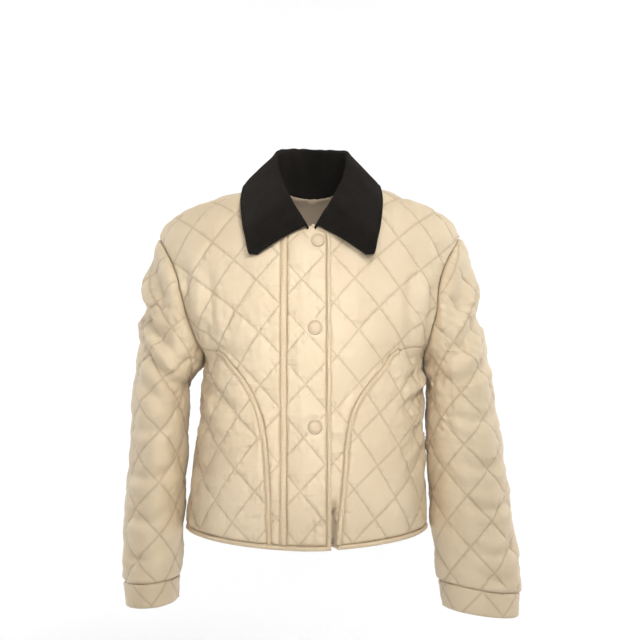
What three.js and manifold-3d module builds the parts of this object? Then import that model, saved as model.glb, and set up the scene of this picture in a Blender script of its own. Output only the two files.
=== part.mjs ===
// Short quilted jacket, kept hollow in the pose in which it is worn.
// Millimetres, +Z up, the front faces -Y. The origin is the middle of the neck base,
// level with the neck ends of the shoulder seams.
// Every cloth piece is cut flat from quilted cloth, in flat coordinates s across and t up,
// and is then wrapped onto the body or the arm, so the quilting runs on as in real cloth.
import * as THREE from 'three';
import { mergeVertices } from 'three/addons/utils/BufferGeometryUtils.js';
import Module from 'manifold-3d';

const wasm = await Module();
wasm.setup();

// Driving dimensions
const DIAMOND = { width: 62.6, height: 72.8 };
const PUFF = 3;
const WALL = 2.4;
const SEAM_GAP = 0.3;
const SLEEVE_GAP = 1.4;
const STEPS_PER_HALF_DIAMOND = 2;
const BINDING_WIDTH = 5.5;
const STRIP_WIDTH = 8;
const PIPING = { width: 7, rise: 2.2 };
const SNAP = { radius: 10, thickness: 2.6, seat: 10.8 };
// Reach of the shared wall direction beside an armhole, and how finely it is sampled
const ARMHOLE_REACH = 28;
const ARMHOLE_SAMPLES = 120;
// Corners along each half of an armhole, along a shoulder or side seam, and along a neckline
const ARMHOLE_CORNERS = 26;
const SEAM_CORNERS = 14;
const NECK_CORNERS = 8;
// Longest straight stretch along a hem and along the front edges
const HEM_STRETCH = 22;
const EDGE_STRETCH = 24;
const PIPING_STATIONS = 30;
// Depth of the cutting blocks under the cloth, and their height above it
const BLOCK = { outer: -30, inner: -40, low: -20, high: 120 };

// Colours and finishes
const SHELL = new THREE.MeshStandardMaterial({ color: 0xe2cbaa, roughness: 0.55, metalness: 0 });
const TRIM = new THREE.MeshStandardMaterial({ color: 0xd9c09c, roughness: 0.5, metalness: 0 });
const CORDUROY = new THREE.MeshStandardMaterial({ color: 0x1b1715, roughness: 0.95, metalness: 0 });
const CAP = new THREE.MeshStandardMaterial({ color: 0xdcc39f, roughness: 0.35, metalness: 0 });

// Inner skin of the body by height: sideways lean, half width, depth forwards and backwards
const BODY_ROWS = [
  { z: -520, lean: -2, half: 172, front: 142, back: 138 },
  { z: -471, lean: -2, half: 169, front: 140, back: 135 },
  { z: -420, lean: 0, half: 165, front: 137, back: 131 },
  { z: -362, lean: 4, half: 159, front: 133, back: 125 },
  { z: -304, lean: 6, half: 156, front: 130, back: 120 },
  { z: -246, lean: 8, half: 156, front: 129, back: 117 },
  { z: -215, lean: 7, half: 176, front: 127, back: 115 },
  { z: -174, lean: 4, half: 206, front: 121, back: 111 },
  { z: -148, lean: 2, half: 214, front: 114, back: 107 },
  { z: -107, lean: 1, half: 217, front: 100, back: 98 },
  { z: -80, lean: 1, half: 215, front: 90, back: 91 },
  { z: -60, lean: 1, half: 208, front: 81, back: 84 },
  { z: -42, lean: 1, half: 191, front: 70, back: 75 },
  { z: -30, lean: 1, half: 170, front: 62, back: 67 },
  { z: -19, lean: 2, half: 142, front: 54, back: 58 },
  { z: -8, lean: 4, half: 105, front: 42, back: 46 },
  { z: -2, lean: 5, half: 75, front: 32, back: 36 },
  { z: 4, lean: 5, half: 44, front: 20, back: 24 },
];
const BODY_ROUNDNESS = 2.3;

// Armhole, seen from the side: an egg, wider low down
const ARMHOLE = { top: -72, bottom: -242, front: 70, back: 72, egg: 0.12 };

// Inner skin of each sleeve by height: distance of its outer and inner line from the middle,
// half depth and how far its middle lies forward
const SLEEVE_ROWS = {
  left: [
    { z: -606, outer: 256, inner: 191, depth: 56, forward: 28 },
    { z: -560, outer: 260, inner: 188, depth: 60, forward: 24 },
    { z: -523, outer: 261, inner: 185, depth: 62, forward: 20 },
    { z: -471, outer: 259, inner: 184, depth: 65, forward: 14 },
    { z: -422, outer: 256, inner: 181, depth: 69, forward: 9 },
    { z: -362, outer: 252, inner: 180, depth: 71, forward: 4 },
    { z: -304, outer: 249, inner: 178, depth: 73, forward: 1 },
    { z: -275, outer: 246, inner: 174, depth: 74, forward: 0 },
    { z: -242, outer: 242, inner: 150, depth: 74, forward: -1 },
    { z: -217, outer: 240, inner: 150, depth: 73, forward: -1 },
    { z: -174, outer: 236, inner: 150, depth: 72, forward: -1 },
    { z: -150, outer: 234, inner: 150, depth: 72, forward: -1 },
    { z: -121, outer: 229, inner: 150, depth: 72, forward: -1 },
    { z: -100, outer: 223, inner: 150, depth: 72, forward: -1 },
    { z: -80, outer: 216, inner: 150, depth: 72, forward: -1 },
    { z: -70, outer: 211, inner: 150, depth: 72, forward: -1 },
  ],
  right: [
    { z: -626, outer: 296, inner: 198, depth: 44, forward: 26 },
    { z: -592, outer: 298, inner: 194, depth: 45, forward: 24 },
    { z: -561, outer: 299, inner: 190, depth: 47, forward: 21 },
    { z: -526, outer: 297, inner: 185, depth: 49, forward: 18 },
    { z: -481, outer: 291, inner: 179.5, depth: 54, forward: 12 },
    { z: -425, outer: 284, inner: 177, depth: 58, forward: 7 },
    { z: -348, outer: 273, inner: 174.5, depth: 64, forward: 3 },
    { z: -300, outer: 265, inner: 174.5, depth: 68, forward: 1 },
    { z: -275, outer: 262, inner: 175, depth: 70, forward: 0 },
    { z: -242, outer: 256, inner: 166, depth: 73, forward: -1 },
    { z: -217, outer: 250, inner: 166, depth: 73, forward: -1 },
    { z: -174, outer: 243, inner: 166, depth: 72, forward: -1 },
    { z: -133, outer: 237, inner: 166, depth: 72, forward: -1 },
    { z: -110, outer: 232, inner: 166, depth: 72, forward: -1 },
    { z: -91, outer: 225, inner: 166, depth: 72, forward: -1 },
    { z: -80, outer: 219, inner: 166, depth: 72, forward: -1 },
    { z: -70, outer: 212, inner: 166, depth: 72, forward: -1 },
  ],
};

// Cuffs: height of the seam and of the lower edge at the inner and the outer line
const CUFFS = {
  left: { seamOuter: -560, seamInner: -553, edgeOuter: -594, edgeInner: -588 },
  right: { seamOuter: -578, seamInner: -560, edgeOuter: -612, edgeInner: -598 },
};

// Hem: height of the lower edge at the centre front, the side and the centre back
const HEM = { front: -501, side: -486, back: -495 };

// Neckline in plan: an oval round the neck
const NECK = { centre: 5, half: 60, front: 80, back: 50 };

// Front closing, by distance from the middle plane
const STRIP_X = -33;
const PLACKET_EDGE_X = 31.5;
const UNDERLAP_X = -2;
const PLACKET_CORNER = { x: 29, z: -68 };
const SNAPS = [
  { name: 'snap_cap_top', x: 14, z: -78 },
  { name: 'snap_cap_middle', x: 10, z: -199 },
  { name: 'snap_cap_bottom', x: 10, z: -334 },
];

// Curved pocket seams on the front, from the pocket's upper end down to the hem; above that
// the seam goes on plain to the armhole
const POCKET_SEAMS = {
  left: [
    { x: -126, z: -231 },
    { x: -107, z: -251 },
    { x: -85, z: -278 },
    { x: -68, z: -313 },
    { x: -58.5, z: -360 },
    { x: -54, z: -431 },
    { x: -52.5, z: -520 },
  ],
  right: [
    { x: 127, z: -230 },
    { x: 105, z: -255 },
    { x: 83, z: -280 },
    { x: 64, z: -311 },
    { x: 54, z: -355 },
    { x: 49, z: -421 },
    { x: 42, z: -520 },
  ],
};
const POCKET_SEAM_END = { y: 36, z: -222 };

// Where stitch lines cross, one place for each separately cut quilted piece
const CROSSINGS = {
  left: { x: -3.7, z: -203.5 },
  right: { x: 39.8, z: -237.5 },
};

// Where the under front swings back below the last snap
const FALL_BACK = { from: -425, depth: 16, ramp: 12 };

function smooth(k) {
  const c = Math.min(Math.max(k, 0), 1);
  return c * c * (3 - 2 * c);
}

function mix(a, b, k) {
  return a + (b - a) * k;
}

// A smooth curve through one column of a table, without overshoot
function column(rows, name) {
  const sorted = [...rows].sort((p, q) => p.z - q.z);
  const rise = (i) => (sorted[i + 1][name] - sorted[i][name]) / (sorted[i + 1].z - sorted[i].z);
  const slopes = sorted.map((row, i) => {
    if (i === 0) return rise(0);
    if (i === sorted.length - 1) return rise(i - 1);
    const below = rise(i - 1);
    const above = rise(i);
    return below * above <= 0 ? 0 : (2 * below * above) / (below + above);
  });
  return (z) => {
    let i = 0;
    while (i < sorted.length - 2 && z > sorted[i + 1].z) i += 1;
    const span = sorted[i + 1].z - sorted[i].z;
    const k = Math.min(Math.max((z - sorted[i].z) / span, 0), 1);
    const start = sorted[i][name] * (1 + 2 * k) * (1 - k) ** 2 + slopes[i] * span * k * (1 - k) ** 2;
    const end = sorted[i + 1][name] * (3 - 2 * k) * k ** 2 + slopes[i + 1] * span * k ** 2 * (k - 1);
    return start + end;
  };
}

const body = {
  lean: column(BODY_ROWS, 'lean'),
  half: column(BODY_ROWS, 'half'),
  front: column(BODY_ROWS, 'front'),
  back: column(BODY_ROWS, 'back'),
};

// A stack of level rings, unrolled to flat coordinates: s runs round the ring from its
// starting line, t runs up along each line of equal s. ringPoint(sign, z, k) gives the
// ring's point in plan for k from 0 at the starting line to 1 at its end.
class Wrap {
  constructor({ ringPoint, low, high, crown }) {
    this.ringPoint = ringPoint;
    this.low = low;
    this.high = high;
    this.crown = crown;
    this.columns = new Map();
    this.rings = new Map();
  }

  ring(sign, z) {
    const key = `${sign}:${z.toFixed(4)}`;
    if (!this.rings.has(key)) {
      const points = [];
      const lengths = [];
      const count = 40;
      for (let i = 0; i <= count; i += 1) {
        const point = this.ringPoint(sign, z, i / count);
        const last = points[i - 1];
        points.push(point);
        lengths.push(last ? lengths[i - 1] + last.distanceTo(point) : 0);
      }
      this.rings.set(key, { points, lengths, total: lengths[count] });
    }
    return this.rings.get(key);
  }

  reach(sign, z) {
    return this.ring(sign, z).total;
  }

  onRing(s, z) {
    const { points, lengths, total } = this.ring(s < 0 ? -1 : 1, z);
    const along = Math.min(Math.abs(s), total);
    let i = 1;
    while (i < lengths.length - 1 && lengths[i] < along) i += 1;
    const span = lengths[i] - lengths[i - 1];
    const k = span > 0 ? (along - lengths[i - 1]) / span : 0;
    const flat = points[i - 1].clone().lerp(points[i], k);
    return new THREE.Vector3(flat.x, flat.y, z);
  }

  // Heights and running lengths up the line of equal s, to where the ring gets shorter than s
  upLine(s) {
    const key = s.toFixed(2);
    if (this.columns.has(key)) return this.columns.get(key);
    const sign = s < 0 ? -1 : 1;
    const rows = [];
    const add = (z) => {
      const point = this.onRing(s, z);
      const last = rows[rows.length - 1];
      rows.push({ z, point, t: last ? last.t + last.point.distanceTo(point) : 0 });
    };
    const step = 4;
    for (let z = this.low; z <= this.high; z += step) {
      if (z > this.crown && this.reach(sign, z) < Math.abs(s)) {
        let inside = z - step;
        let outside = z;
        for (let turn = 0; turn < 24; turn += 1) {
          const middle = (inside + outside) / 2;
          if (this.reach(sign, middle) < Math.abs(s)) outside = middle;
          else inside = middle;
        }
        add(inside);
        break;
      }
      add(z);
    }
    this.columns.set(key, rows);
    return rows;
  }

  tAt(s, z) {
    const rows = this.upLine(s);
    let i = 1;
    while (i < rows.length - 1 && rows[i].z < z) i += 1;
    const k = (z - rows[i - 1].z) / (rows[i].z - rows[i - 1].z);
    return mix(rows[i - 1].t, rows[i].t, Math.min(k, 1));
  }

  zAt(s, t) {
    const rows = this.upLine(s);
    let i = 1;
    while (i < rows.length - 1 && rows[i].t < t) i += 1;
    const k = (t - rows[i - 1].t) / (rows[i].t - rows[i - 1].t);
    return mix(rows[i - 1].z, rows[i].z, Math.min(k, 1));
  }

  // Flat place of the ring point nearest to a given place in plan
  nearest(x, y, z) {
    let best = { distance: Infinity, s: 0 };
    for (const sign of [-1, 1]) {
      const { points, lengths } = this.ring(sign, z);
      for (let i = 1; i < points.length; i += 1) {
        const line = points[i].clone().sub(points[i - 1]);
        const away = new THREE.Vector2(x, y).sub(points[i - 1]);
        const k = Math.min(Math.max(away.dot(line) / Math.max(line.lengthSq(), 1e-9), 0), 1);
        const distance = points[i - 1].clone().addScaledVector(line, k).distanceTo(new THREE.Vector2(x, y));
        if (distance < best.distance) best = { distance, s: sign * mix(lengths[i - 1], lengths[i], k) };
      }
    }
    return this.flat(best.s, z);
  }

  flat(s, z) {
    return new THREE.Vector2(s, this.tAt(s, z));
  }

  skin(s, t) {
    return this.onRing(s, this.zAt(s, t));
  }

  outward(s, t) {
    const step = 1.5;
    const towards = s < 0 ? 1 : -1;
    const here = this.skin(s, t);
    const across = this.skin(s + towards * step, t).sub(here).multiplyScalar(towards);
    const up = here.clone().sub(this.skin(s, t - step));
    return across.cross(up).normalize();
  }

  // Place of flat point (s, t) at distance w outside the inner skin
  point(s, t, w) {
    const direction = this.seams ? this.seamDirection(s, t) : this.outward(s, t);
    return this.skin(s, t).addScaledVector(direction, w);
  }

  // Near an armhole the cloth's thickness turns to the direction shared by both pieces
  seamDirection(s, t) {
    const own = this.outward(s, t);
    let nearest = { distance: Infinity, shared: own };
    for (const seam of this.seams) {
      const distance = Math.hypot(seam.place.x - s, seam.place.y - t);
      if (distance < nearest.distance) nearest = { distance, shared: seam.shared };
    }
    const turn = smooth(1 - nearest.distance / ARMHOLE_REACH);
    return own.multiplyScalar(1 - turn).addScaledVector(nearest.shared, turn).normalize();
  }
}

function superOval(half, depth, k) {
  const angle = (k * Math.PI) / 2;
  const power = 2 / BODY_ROUNDNESS;
  return new THREE.Vector2(half * Math.sin(angle) ** power, depth * Math.max(Math.cos(angle), 0) ** power);
}

function bodyWrap(face) {
  const forwards = face === 'front' ? -1 : 1;
  const ringPoint = (sign, z, k) => {
    const oval = superOval(body.half(z), body[face](z), k);
    return new THREE.Vector2(body.lean(z) - forwards * sign * oval.x, forwards * oval.y);
  };
  return new Wrap({ ringPoint, low: -524, high: 4, crown: -125 });
}

const wraps = { front: bodyWrap('front'), back: bodyWrap('back') };

function armholeY(face, z) {
  const middle = (ARMHOLE.top + ARMHOLE.bottom) / 2;
  const cosine = Math.min(Math.max((z - middle) / (ARMHOLE.top - middle), -1), 1);
  return ARMHOLE[face] * Math.sqrt(1 - cosine * cosine) * (1 - ARMHOLE.egg * cosine);
}

// Distance of the armhole's edge from the middle plane, on one side and face
function armholeX(side, face, z) {
  const sign = side === 'left' ? -1 : 1;
  const part = Math.min(armholeY(face, z) / body[face](z), 1) ** BODY_ROUNDNESS;
  return sign * body.lean(z) + body.half(z) * (1 - part) ** (1 / BODY_ROUNDNESS);
}

function sleeveWrap(side) {
  const sign = side === 'left' ? -1 : 1;
  const rows = SLEEVE_ROWS[side];
  const outer = column(rows, 'outer');
  const inner = column(rows, 'inner');
  const depth = column(rows, 'depth');
  const forward = column(rows, 'forward');
  const widest = -172;
  const ringPoint = (turn, z, k) => {
    const face = turn * sign > 0 ? 'back' : 'front';
    const forwards = face === 'front' ? -1 : 1;
    const middle = -forward(z);
    const onBody = z > ARMHOLE.bottom;
    const edgeDepth = onBody ? Math.abs(forwards * armholeY(face, z) - middle) : 0;
    const edge = onBody ? armholeX(side, face, z) : Math.max(inner(z), 0);
    const widestDepth = Math.abs(forwards * armholeY(face, widest) + forward(widest));
    const half = z > widest ? edgeDepth : Math.max(widestDepth + depth(z) - depth(widest), edgeDepth);
    const start = z > widest ? 0 : -Math.acos(Math.min(edgeDepth / half, 1));
    const across = (outer(z) - edge) / (1 - Math.sin(start));
    const angle = mix(Math.PI / 2, start, k);
    const x = outer(z) - across + across * Math.sin(angle);
    return new THREE.Vector2(sign * x, middle + forwards * half * Math.cos(angle));
  };
  return new Wrap({ ringPoint, low: rows[0].z, high: ARMHOLE.top, crown: ARMHOLE.bottom });
}

const sleeves = { left: sleeveWrap('left'), right: sleeveWrap('right') };

// Flat place on the body of the armhole's edge, and on the sleeve
function bodyArmhole(side, face, z) {
  const wrap = wraps[face];
  const sign = side === 'left' ? -1 : 1;
  const forwards = face === 'front' ? -1 : 1;
  return wrap.nearest(sign * armholeX(side, face, z), forwards * armholeY(face, z), z);
}

function sleeveTurn(side, face) {
  return (side === 'left') === (face === 'front') ? 1 : -1;
}

function sleeveArmhole(side, face, z) {
  const wrap = sleeves[side];
  const turn = sleeveTurn(side, face);
  return wrap.flat(turn * wrap.reach(turn, z), z);
}

// Heights along the armhole, closer together at its top and bottom
function armholeHeights(count) {
  const middle = (ARMHOLE.top + ARMHOLE.bottom) / 2;
  const heights = [];
  for (let i = 0; i <= count; i += 1) {
    heights.push(middle + (ARMHOLE.top - middle) * Math.cos((Math.PI * i) / count) * 0.9995);
  }
  return heights;
}

// Body and sleeve walls share one direction along each armhole
function shareArmholes() {
  for (const wrap of [wraps.front, wraps.back, sleeves.left, sleeves.right]) wrap.seams = [];
  for (const side of ['left', 'right']) {
    for (const face of ['front', 'back']) {
      for (const z of armholeHeights(ARMHOLE_SAMPLES)) {
        const onBody = bodyArmhole(side, face, z);
        const onSleeve = sleeveArmhole(side, face, z);
        const shared = wraps[face].outward(onBody.x, onBody.y);
        shared.add(sleeves[side].outward(onSleeve.x, onSleeve.y)).normalize();
        wraps[face].seams.push({ place: onBody, shared });
        sleeves[side].seams.push({ place: onSleeve, shared });
      }
    }
  }
}
shareArmholes();

// Solids and meshes
function toManifold(geometry) {
  const bare = geometry.clone();
  bare.deleteAttribute('normal');
  bare.deleteAttribute('uv');
  const merged = mergeVertices(bare, 1e-4);
  return new wasm.Manifold(new wasm.Mesh({
    numProp: 3,
    vertProperties: new Float32Array(merged.attributes.position.array),
    triVerts: new Uint32Array(merged.index.array),
  }));
}

function toGeometry(vertices, triangles) {
  const geometry = new THREE.BufferGeometry();
  geometry.setAttribute('position', new THREE.Float32BufferAttribute(vertices, 3));
  geometry.setIndex(triangles);
  geometry.computeVertexNormals();
  return geometry;
}

// A slight bowl keeps neighbouring flat faces apart while a piece is cut
const BOWL = 2e-4;
function bowl(s, t, centre) {
  return BOWL * ((s - centre.x) ** 2 + (t - centre.y) ** 2);
}

// Ground of quilted cloth over a box of flat coordinates, from a deep base up to the
// height that rise(i, j) gives at the lattice point i, j
function ground({ box, origin, steps, base, centre, rise }) {
  const stepS = DIAMOND.width / 2 / steps;
  const stepT = DIAMOND.height / 2 / steps;
  const first = {
    i: Math.floor((box.min.x - origin.x) / stepS) - 1,
    j: Math.floor((box.min.y - origin.y) / stepT) - 1,
  };
  const last = {
    i: Math.ceil((box.max.x - origin.x) / stepS) + 1,
    j: Math.ceil((box.max.y - origin.y) / stepT) + 1,
  };
  const wide = last.i - first.i + 1;
  const high = last.j - first.j + 1;
  const vertices = [];
  const triangles = [];
  for (const top of [true, false]) {
    for (let j = first.j; j <= last.j; j += 1) {
      for (let i = first.i; i <= last.i; i += 1) {
        const s = origin.x + i * stepS;
        const t = origin.y + j * stepT;
        vertices.push(s, t, top ? rise(i, j, s, t) + bowl(s, t, centre) : base);
      }
    }
  }
  const under = wide * high;
  const at = (i, j) => j * wide + i;
  const quad = (a, b, c, d) => triangles.push(a, b, c, a, c, d);
  for (let j = 0; j < high - 1; j += 1) {
    for (let i = 0; i < wide - 1; i += 1) {
      const even = Math.abs(i + first.i - j - first.j) % 2 === 0;
      const [a, b, c, d] = [at(i, j), at(i + 1, j), at(i + 1, j + 1), at(i, j + 1)];
      if (even) quad(a, b, c, d);
      else quad(b, c, d, a);
      triangles.push(under + a, under + c, under + b, under + a, under + d, under + c);
    }
  }
  for (let i = 0; i < wide - 1; i += 1) {
    quad(under + at(i, 0), under + at(i + 1, 0), at(i + 1, 0), at(i, 0));
    quad(at(i, high - 1), at(i + 1, high - 1), under + at(i + 1, high - 1), under + at(i, high - 1));
  }
  for (let j = 0; j < high - 1; j += 1) {
    quad(at(0, j), at(0, j + 1), under + at(0, j + 1), under + at(0, j));
    quad(under + at(wide - 1, j), under + at(wide - 1, j + 1), at(wide - 1, j + 1), at(wide - 1, j));
  }
  return toManifold(toGeometry(vertices, triangles));
}

// Rise of a quilted diamond: none on its stitch lines, full in its middle
function diamondRise(i, j, steps) {
  const along = Math.sin((Math.PI * (i + j)) / (2 * steps));
  const across = Math.sin((Math.PI * (i - j)) / (2 * steps));
  return Math.abs(along * across);
}

function prism(outline, low, high) {
  const shape = new THREE.Shape(outline);
  const geometry = new THREE.ExtrudeGeometry(shape, { depth: high - low, bevelEnabled: false });
  geometry.translate(0, 0, low);
  return toManifold(geometry);
}

// Moves an outline inwards by half a seam gap
function inset(outline, distance) {
  const count = outline.length;
  const area = THREE.ShapeUtils.area(outline);
  const sign = area > 0 ? 1 : -1;
  return outline.map((point, i) => {
    const before = point.clone().sub(outline[(i + count - 1) % count]).normalize();
    const after = outline[(i + 1) % count].clone().sub(point).normalize();
    const normal = new THREE.Vector2(-(before.y + after.y), before.x + after.x);
    normal.normalize().multiplyScalar(sign);
    const lean = Math.max(normal.x * -before.y * sign + normal.y * before.x * sign, 0.5);
    return point.clone().addScaledVector(normal, distance / lean);
  });
}

function distinct(outline) {
  return outline.filter((point, i) => point.distanceTo(outline[(i + 1) % outline.length]) > 0.8);
}

// One piece of quilted cloth: cut from the ground by its outline, then wrapped
function quilted(options) {
  const { name, wrap, outline, crossing, flatten, within } = options;
  const { puff = PUFF, gap = SEAM_GAP, seats = [] } = options;
  const cut = inset(distinct(outline), gap / 2);
  const box = new THREE.Box2().setFromPoints(cut);
  const centre = box.getCenter(new THREE.Vector2());
  const steps = STEPS_PER_HALF_DIAMOND;
  const keep = flatten || (() => 1);
  const outerRise = (i, j, s, t) => WALL + puff * diamondRise(i, j, steps) * keep(s, t);
  const outer = ground({ box, origin: crossing, steps, base: BLOCK.outer, centre, rise: outerRise });
  const inner = ground({ box, origin: crossing, steps: 1, base: BLOCK.inner, centre, rise: () => 0 });
  let solid = outer.subtract(inner).intersect(prism(cut, BLOCK.low, BLOCK.high));
  if (within) solid = solid.intersect(prism(within, BLOCK.low, BLOCK.high));
  for (const seat of seats) {
    const rim = new THREE.Shape().absarc(seat.place.x, seat.place.y, SNAP.seat, 0, 2 * Math.PI);
    const bore = new THREE.ExtrudeGeometry(rim, { depth: 20, bevelEnabled: false, curveSegments: 12 });
    bore.translate(0, 0, WALL + bowl(seat.place.x, seat.place.y, centre));
    solid = solid.subtract(toManifold(bore));
  }
  const cutMesh = solid.getMesh();
  const vertices = [];
  for (let i = 0; i < cutMesh.vertProperties.length; i += cutMesh.numProp) {
    const [s, t, w] = cutMesh.vertProperties.subarray(i, i + 3);
    const place = wrap.point(s, t, w - bowl(s, t, centre));
    vertices.push(place.x, place.y, place.z);
  }
  return named(name, toGeometry(vertices, Array.from(cutMesh.triVerts)), SHELL);
}

function named(name, geometry, material) {
  const mesh = new THREE.Mesh(geometry, material);
  mesh.name = name;
  return mesh;
}

// Volume of a closed mesh, negative where its faces point inwards
function volume(vertices, triangles) {
  const corner = (i) => new THREE.Vector3().fromArray(vertices, triangles[i] * 3);
  let total = 0;
  for (let i = 0; i < triangles.length; i += 3) {
    total += corner(i).dot(corner(i + 1).cross(corner(i + 2))) / 6;
  }
  return total;
}

// A closed strip: the section's points are laid out at every station in turn
function swept(name, rings, material) {
  const size = rings[0].length;
  const vertices = rings.flat().flatMap((point) => [point.x, point.y, point.z]);
  const triangles = [];
  for (let r = 0; r < rings.length - 1; r += 1) {
    for (let i = 0; i < size; i += 1) {
      const a = r * size + i;
      const b = r * size + ((i + 1) % size);
      triangles.push(a, b, b + size, a, b + size, a + size);
    }
  }
  const end = (rings.length - 1) * size;
  for (let i = 1; i < size - 1; i += 1) {
    triangles.push(0, i + 1, i);
    triangles.push(end, end + i, end + i + 1);
  }
  if (volume(vertices, triangles) < 0) triangles.reverse();
  return named(name, toGeometry(vertices, triangles), material);
}

// A strip that follows a flat path on the cloth; section gives distance across and rise
function ribbon(name, stations, section, material) {
  const rings = stations.map(({ wrap, place, across }) => section.map(([side, rise]) => (
    wrap.point(place.x + across.x * side, place.y + across.y * side, rise))));
  return swept(name, rings, material);
}

// Stations along a flat path, each with its direction across, to the right of the path
function stationsAlong(wrap, path) {
  return path.map((place, i) => {
    const before = path[Math.max(i - 1, 0)];
    const after = path[Math.min(i + 1, path.length - 1)];
    const along = after.clone().sub(before).normalize();
    return { wrap, place, across: new THREE.Vector2(along.y, -along.x) };
  });
}


// Evenly spread numbers from a to b
function spread(a, b, count) {
  return Array.from({ length: count + 1 }, (_, i) => mix(a, b, i / count));
}

// Height at which the body's ring passes through a place in plan
function bodyHeight(face, x, y) {
  let low = -150;
  let high = 4;
  for (let turn = 0; turn < 30; turn += 1) {
    const z = (low + high) / 2;
    const part = Math.abs((x - body.lean(z)) / body.half(z)) ** BODY_ROUNDNESS;
    if (part + Math.abs(y / body[face](z)) ** BODY_ROUNDNESS < 1) low = z;
    else high = z;
  }
  return low;
}

// Neckline on one face, from angle 0 at the centre to 90 degrees at the shoulder seam
function neckPoint(face, side, angle) {
  const sign = side === 'left' ? -1 : 1;
  const forwards = face === 'front' ? -1 : 1;
  const x = NECK.centre + sign * NECK.half * Math.sin(angle);
  const y = forwards * NECK[face] * Math.cos(angle);
  return wraps[face].nearest(x, y, bodyHeight(face, x, y));
}

// Place on the front, given in front view
function frontAt(x, z) {
  const part = Math.min(Math.abs(x - body.lean(z)) / body.half(z), 1) ** BODY_ROUNDNESS;
  return wraps.front.nearest(x, -body.front(z) * (1 - part) ** (1 / BODY_ROUNDNESS), z);
}

// Sign of flat coordinate s on one face and side of the body
function faceSign(face, side) {
  return (face === 'front') === (side === 'right') ? 1 : -1;
}

function hemHeight(face, s) {
  const share = Math.min(Math.abs(s) / wraps[face].reach(1, HEM.side), 1);
  return mix(HEM[face], HEM.side, smooth(share));
}

function hemPlace(face, s, above) {
  const place = wraps[face].flat(s, hemHeight(face, s));
  place.y += above;
  return place;
}

function hemPath(face, from, to, above) {
  return spread(from, to, Math.ceil(Math.abs(to - from) / HEM_STRETCH)).map((s) => hemPlace(face, s, above));
}

function sideSeam(face, side, from, to) {
  const sign = faceSign(face, side);
  return spread(from, to, SEAM_CORNERS).map((z) => wraps[face].flat(sign * wraps[face].reach(sign, z), z));
}

function shoulderSeam(face, side) {
  const sign = faceSign(face, side);
  const neckEnd = bodyHeight(face, NECK.centre + (side === 'left' ? -1 : 1) * NECK.half, 0);
  return spread(neckEnd, ARMHOLE.top, SEAM_CORNERS).map((z) => (
    wraps[face].flat(sign * wraps[face].reach(sign, z), z)));
}

function armholeLine(side, face, from, to) {
  const heights = armholeHeights(ARMHOLE_CORNERS).filter((z) => z <= from && z >= to);
  return heights.map((z) => bodyArmhole(side, face, z));
}

function neckLine(face, side, from, to) {
  return spread(from, to, NECK_CORNERS).map((angle) => neckPoint(face, side, angle));
}

function straightDown(x, top, bottom) {
  return spread(top, bottom, Math.ceil(Math.abs(top - bottom) / EDGE_STRETCH)).map((z) => frontAt(x, z));
}

// Curved pocket seam as flat points, from the armhole to the hem
function pocketSeam(side) {
  const sign = side === 'left' ? -1 : 1;
  const rows = POCKET_SEAMS[side];
  const places = rows.map((row) => frontAt(row.x, row.z));
  const { y, z } = POCKET_SEAM_END;
  places.unshift(wraps.front.nearest(sign * armholeX(side, 'front', z), -y, z));
  const last = places[places.length - 1];
  last.y = hemPlace('front', last.x, BINDING_WIDTH).y;
  return new THREE.SplineCurve(places).getSpacedPoints(PIPING_STATIONS);
}

// A path moved to its right by the distance that each of its places has
function sidestep(path, distances) {
  return stationsAlong(wraps.front, path).map(({ place, across }, i) => (
    place.clone().addScaledVector(across, distances[i])));
}

const HEM_TOP = BINDING_WIDTH;
const quarter = Math.PI / 2;
const hemEdge = HEM.side + HEM_TOP;
const origins = {
  left: frontAt(CROSSINGS.left.x, CROSSINGS.left.z),
  right: frontAt(CROSSINGS.right.x, CROSSINGS.right.z),
};

function backPiece() {
  const right = [
    ...neckLine('back', 'right', 0, quarter),
    ...shoulderSeam('back', 'right'),
    ...armholeLine('right', 'back', ARMHOLE.top, ARMHOLE.bottom),
    ...sideSeam('back', 'right', ARMHOLE.bottom, hemEdge),
  ];
  const left = [
    ...neckLine('back', 'left', 0, quarter),
    ...shoulderSeam('back', 'left'),
    ...armholeLine('left', 'back', ARMHOLE.top, ARMHOLE.bottom),
    ...sideSeam('back', 'left', ARMHOLE.bottom, hemEdge),
  ];
  const from = right[right.length - 1].x;
  const to = left[left.length - 1].x;
  const outline = [...right, ...hemPath('back', from, to, HEM_TOP).slice(1, -1), ...left.reverse()];
  return quilted({ name: 'back', wrap: wraps.back, outline, crossing: new THREE.Vector2(0, 300) });
}

// The placket lies over the underlap, so its skin lifts off the body in front of it
const LIFT = WALL + 1.2;
function lifted(wrap) {
  const from = frontAt(STRIP_X, SNAPS[1].z).x;
  const to = frontAt(UNDERLAP_X - 2, SNAPS[1].z).x;
  return {
    point: (s, t, w) => wrap.point(s, t, w + LIFT * smooth((s - from) / (to - from))),
  };
}

// Below the last snap the under front swings back between placket and pocket seam
function fallen(wrap) {
  const seam = pocketSeam('right');
  const top = frontAt(PLACKET_EDGE_X, FALL_BACK.from).y;
  const low = frontAt(PLACKET_EDGE_X, HEM.front).y;
  return {
    point: (s, t, w) => {
      const across = smooth((seam[seam.length - 1].x - s) / FALL_BACK.ramp);
      return wrap.point(s, t, w - FALL_BACK.depth * across * smooth((top - t) / (top - low)));
    },
  };
}

const over = lifted(wraps.front);
const under = fallen(wraps.front);
const pocketSeams = { left: pocketSeam('left'), right: pocketSeam('right') };
const pipingHalf = PIPING.width / 2;

// Number of the station at which the piping starts, at the pocket's upper end
function pipingStart(side) {
  const { x, z } = POCKET_SEAMS[side][0];
  const upperEnd = frontAt(x, z);
  const distances = pocketSeams[side].map((place) => place.distanceTo(upperEnd));
  return distances.indexOf(Math.min(...distances));
}

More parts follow.
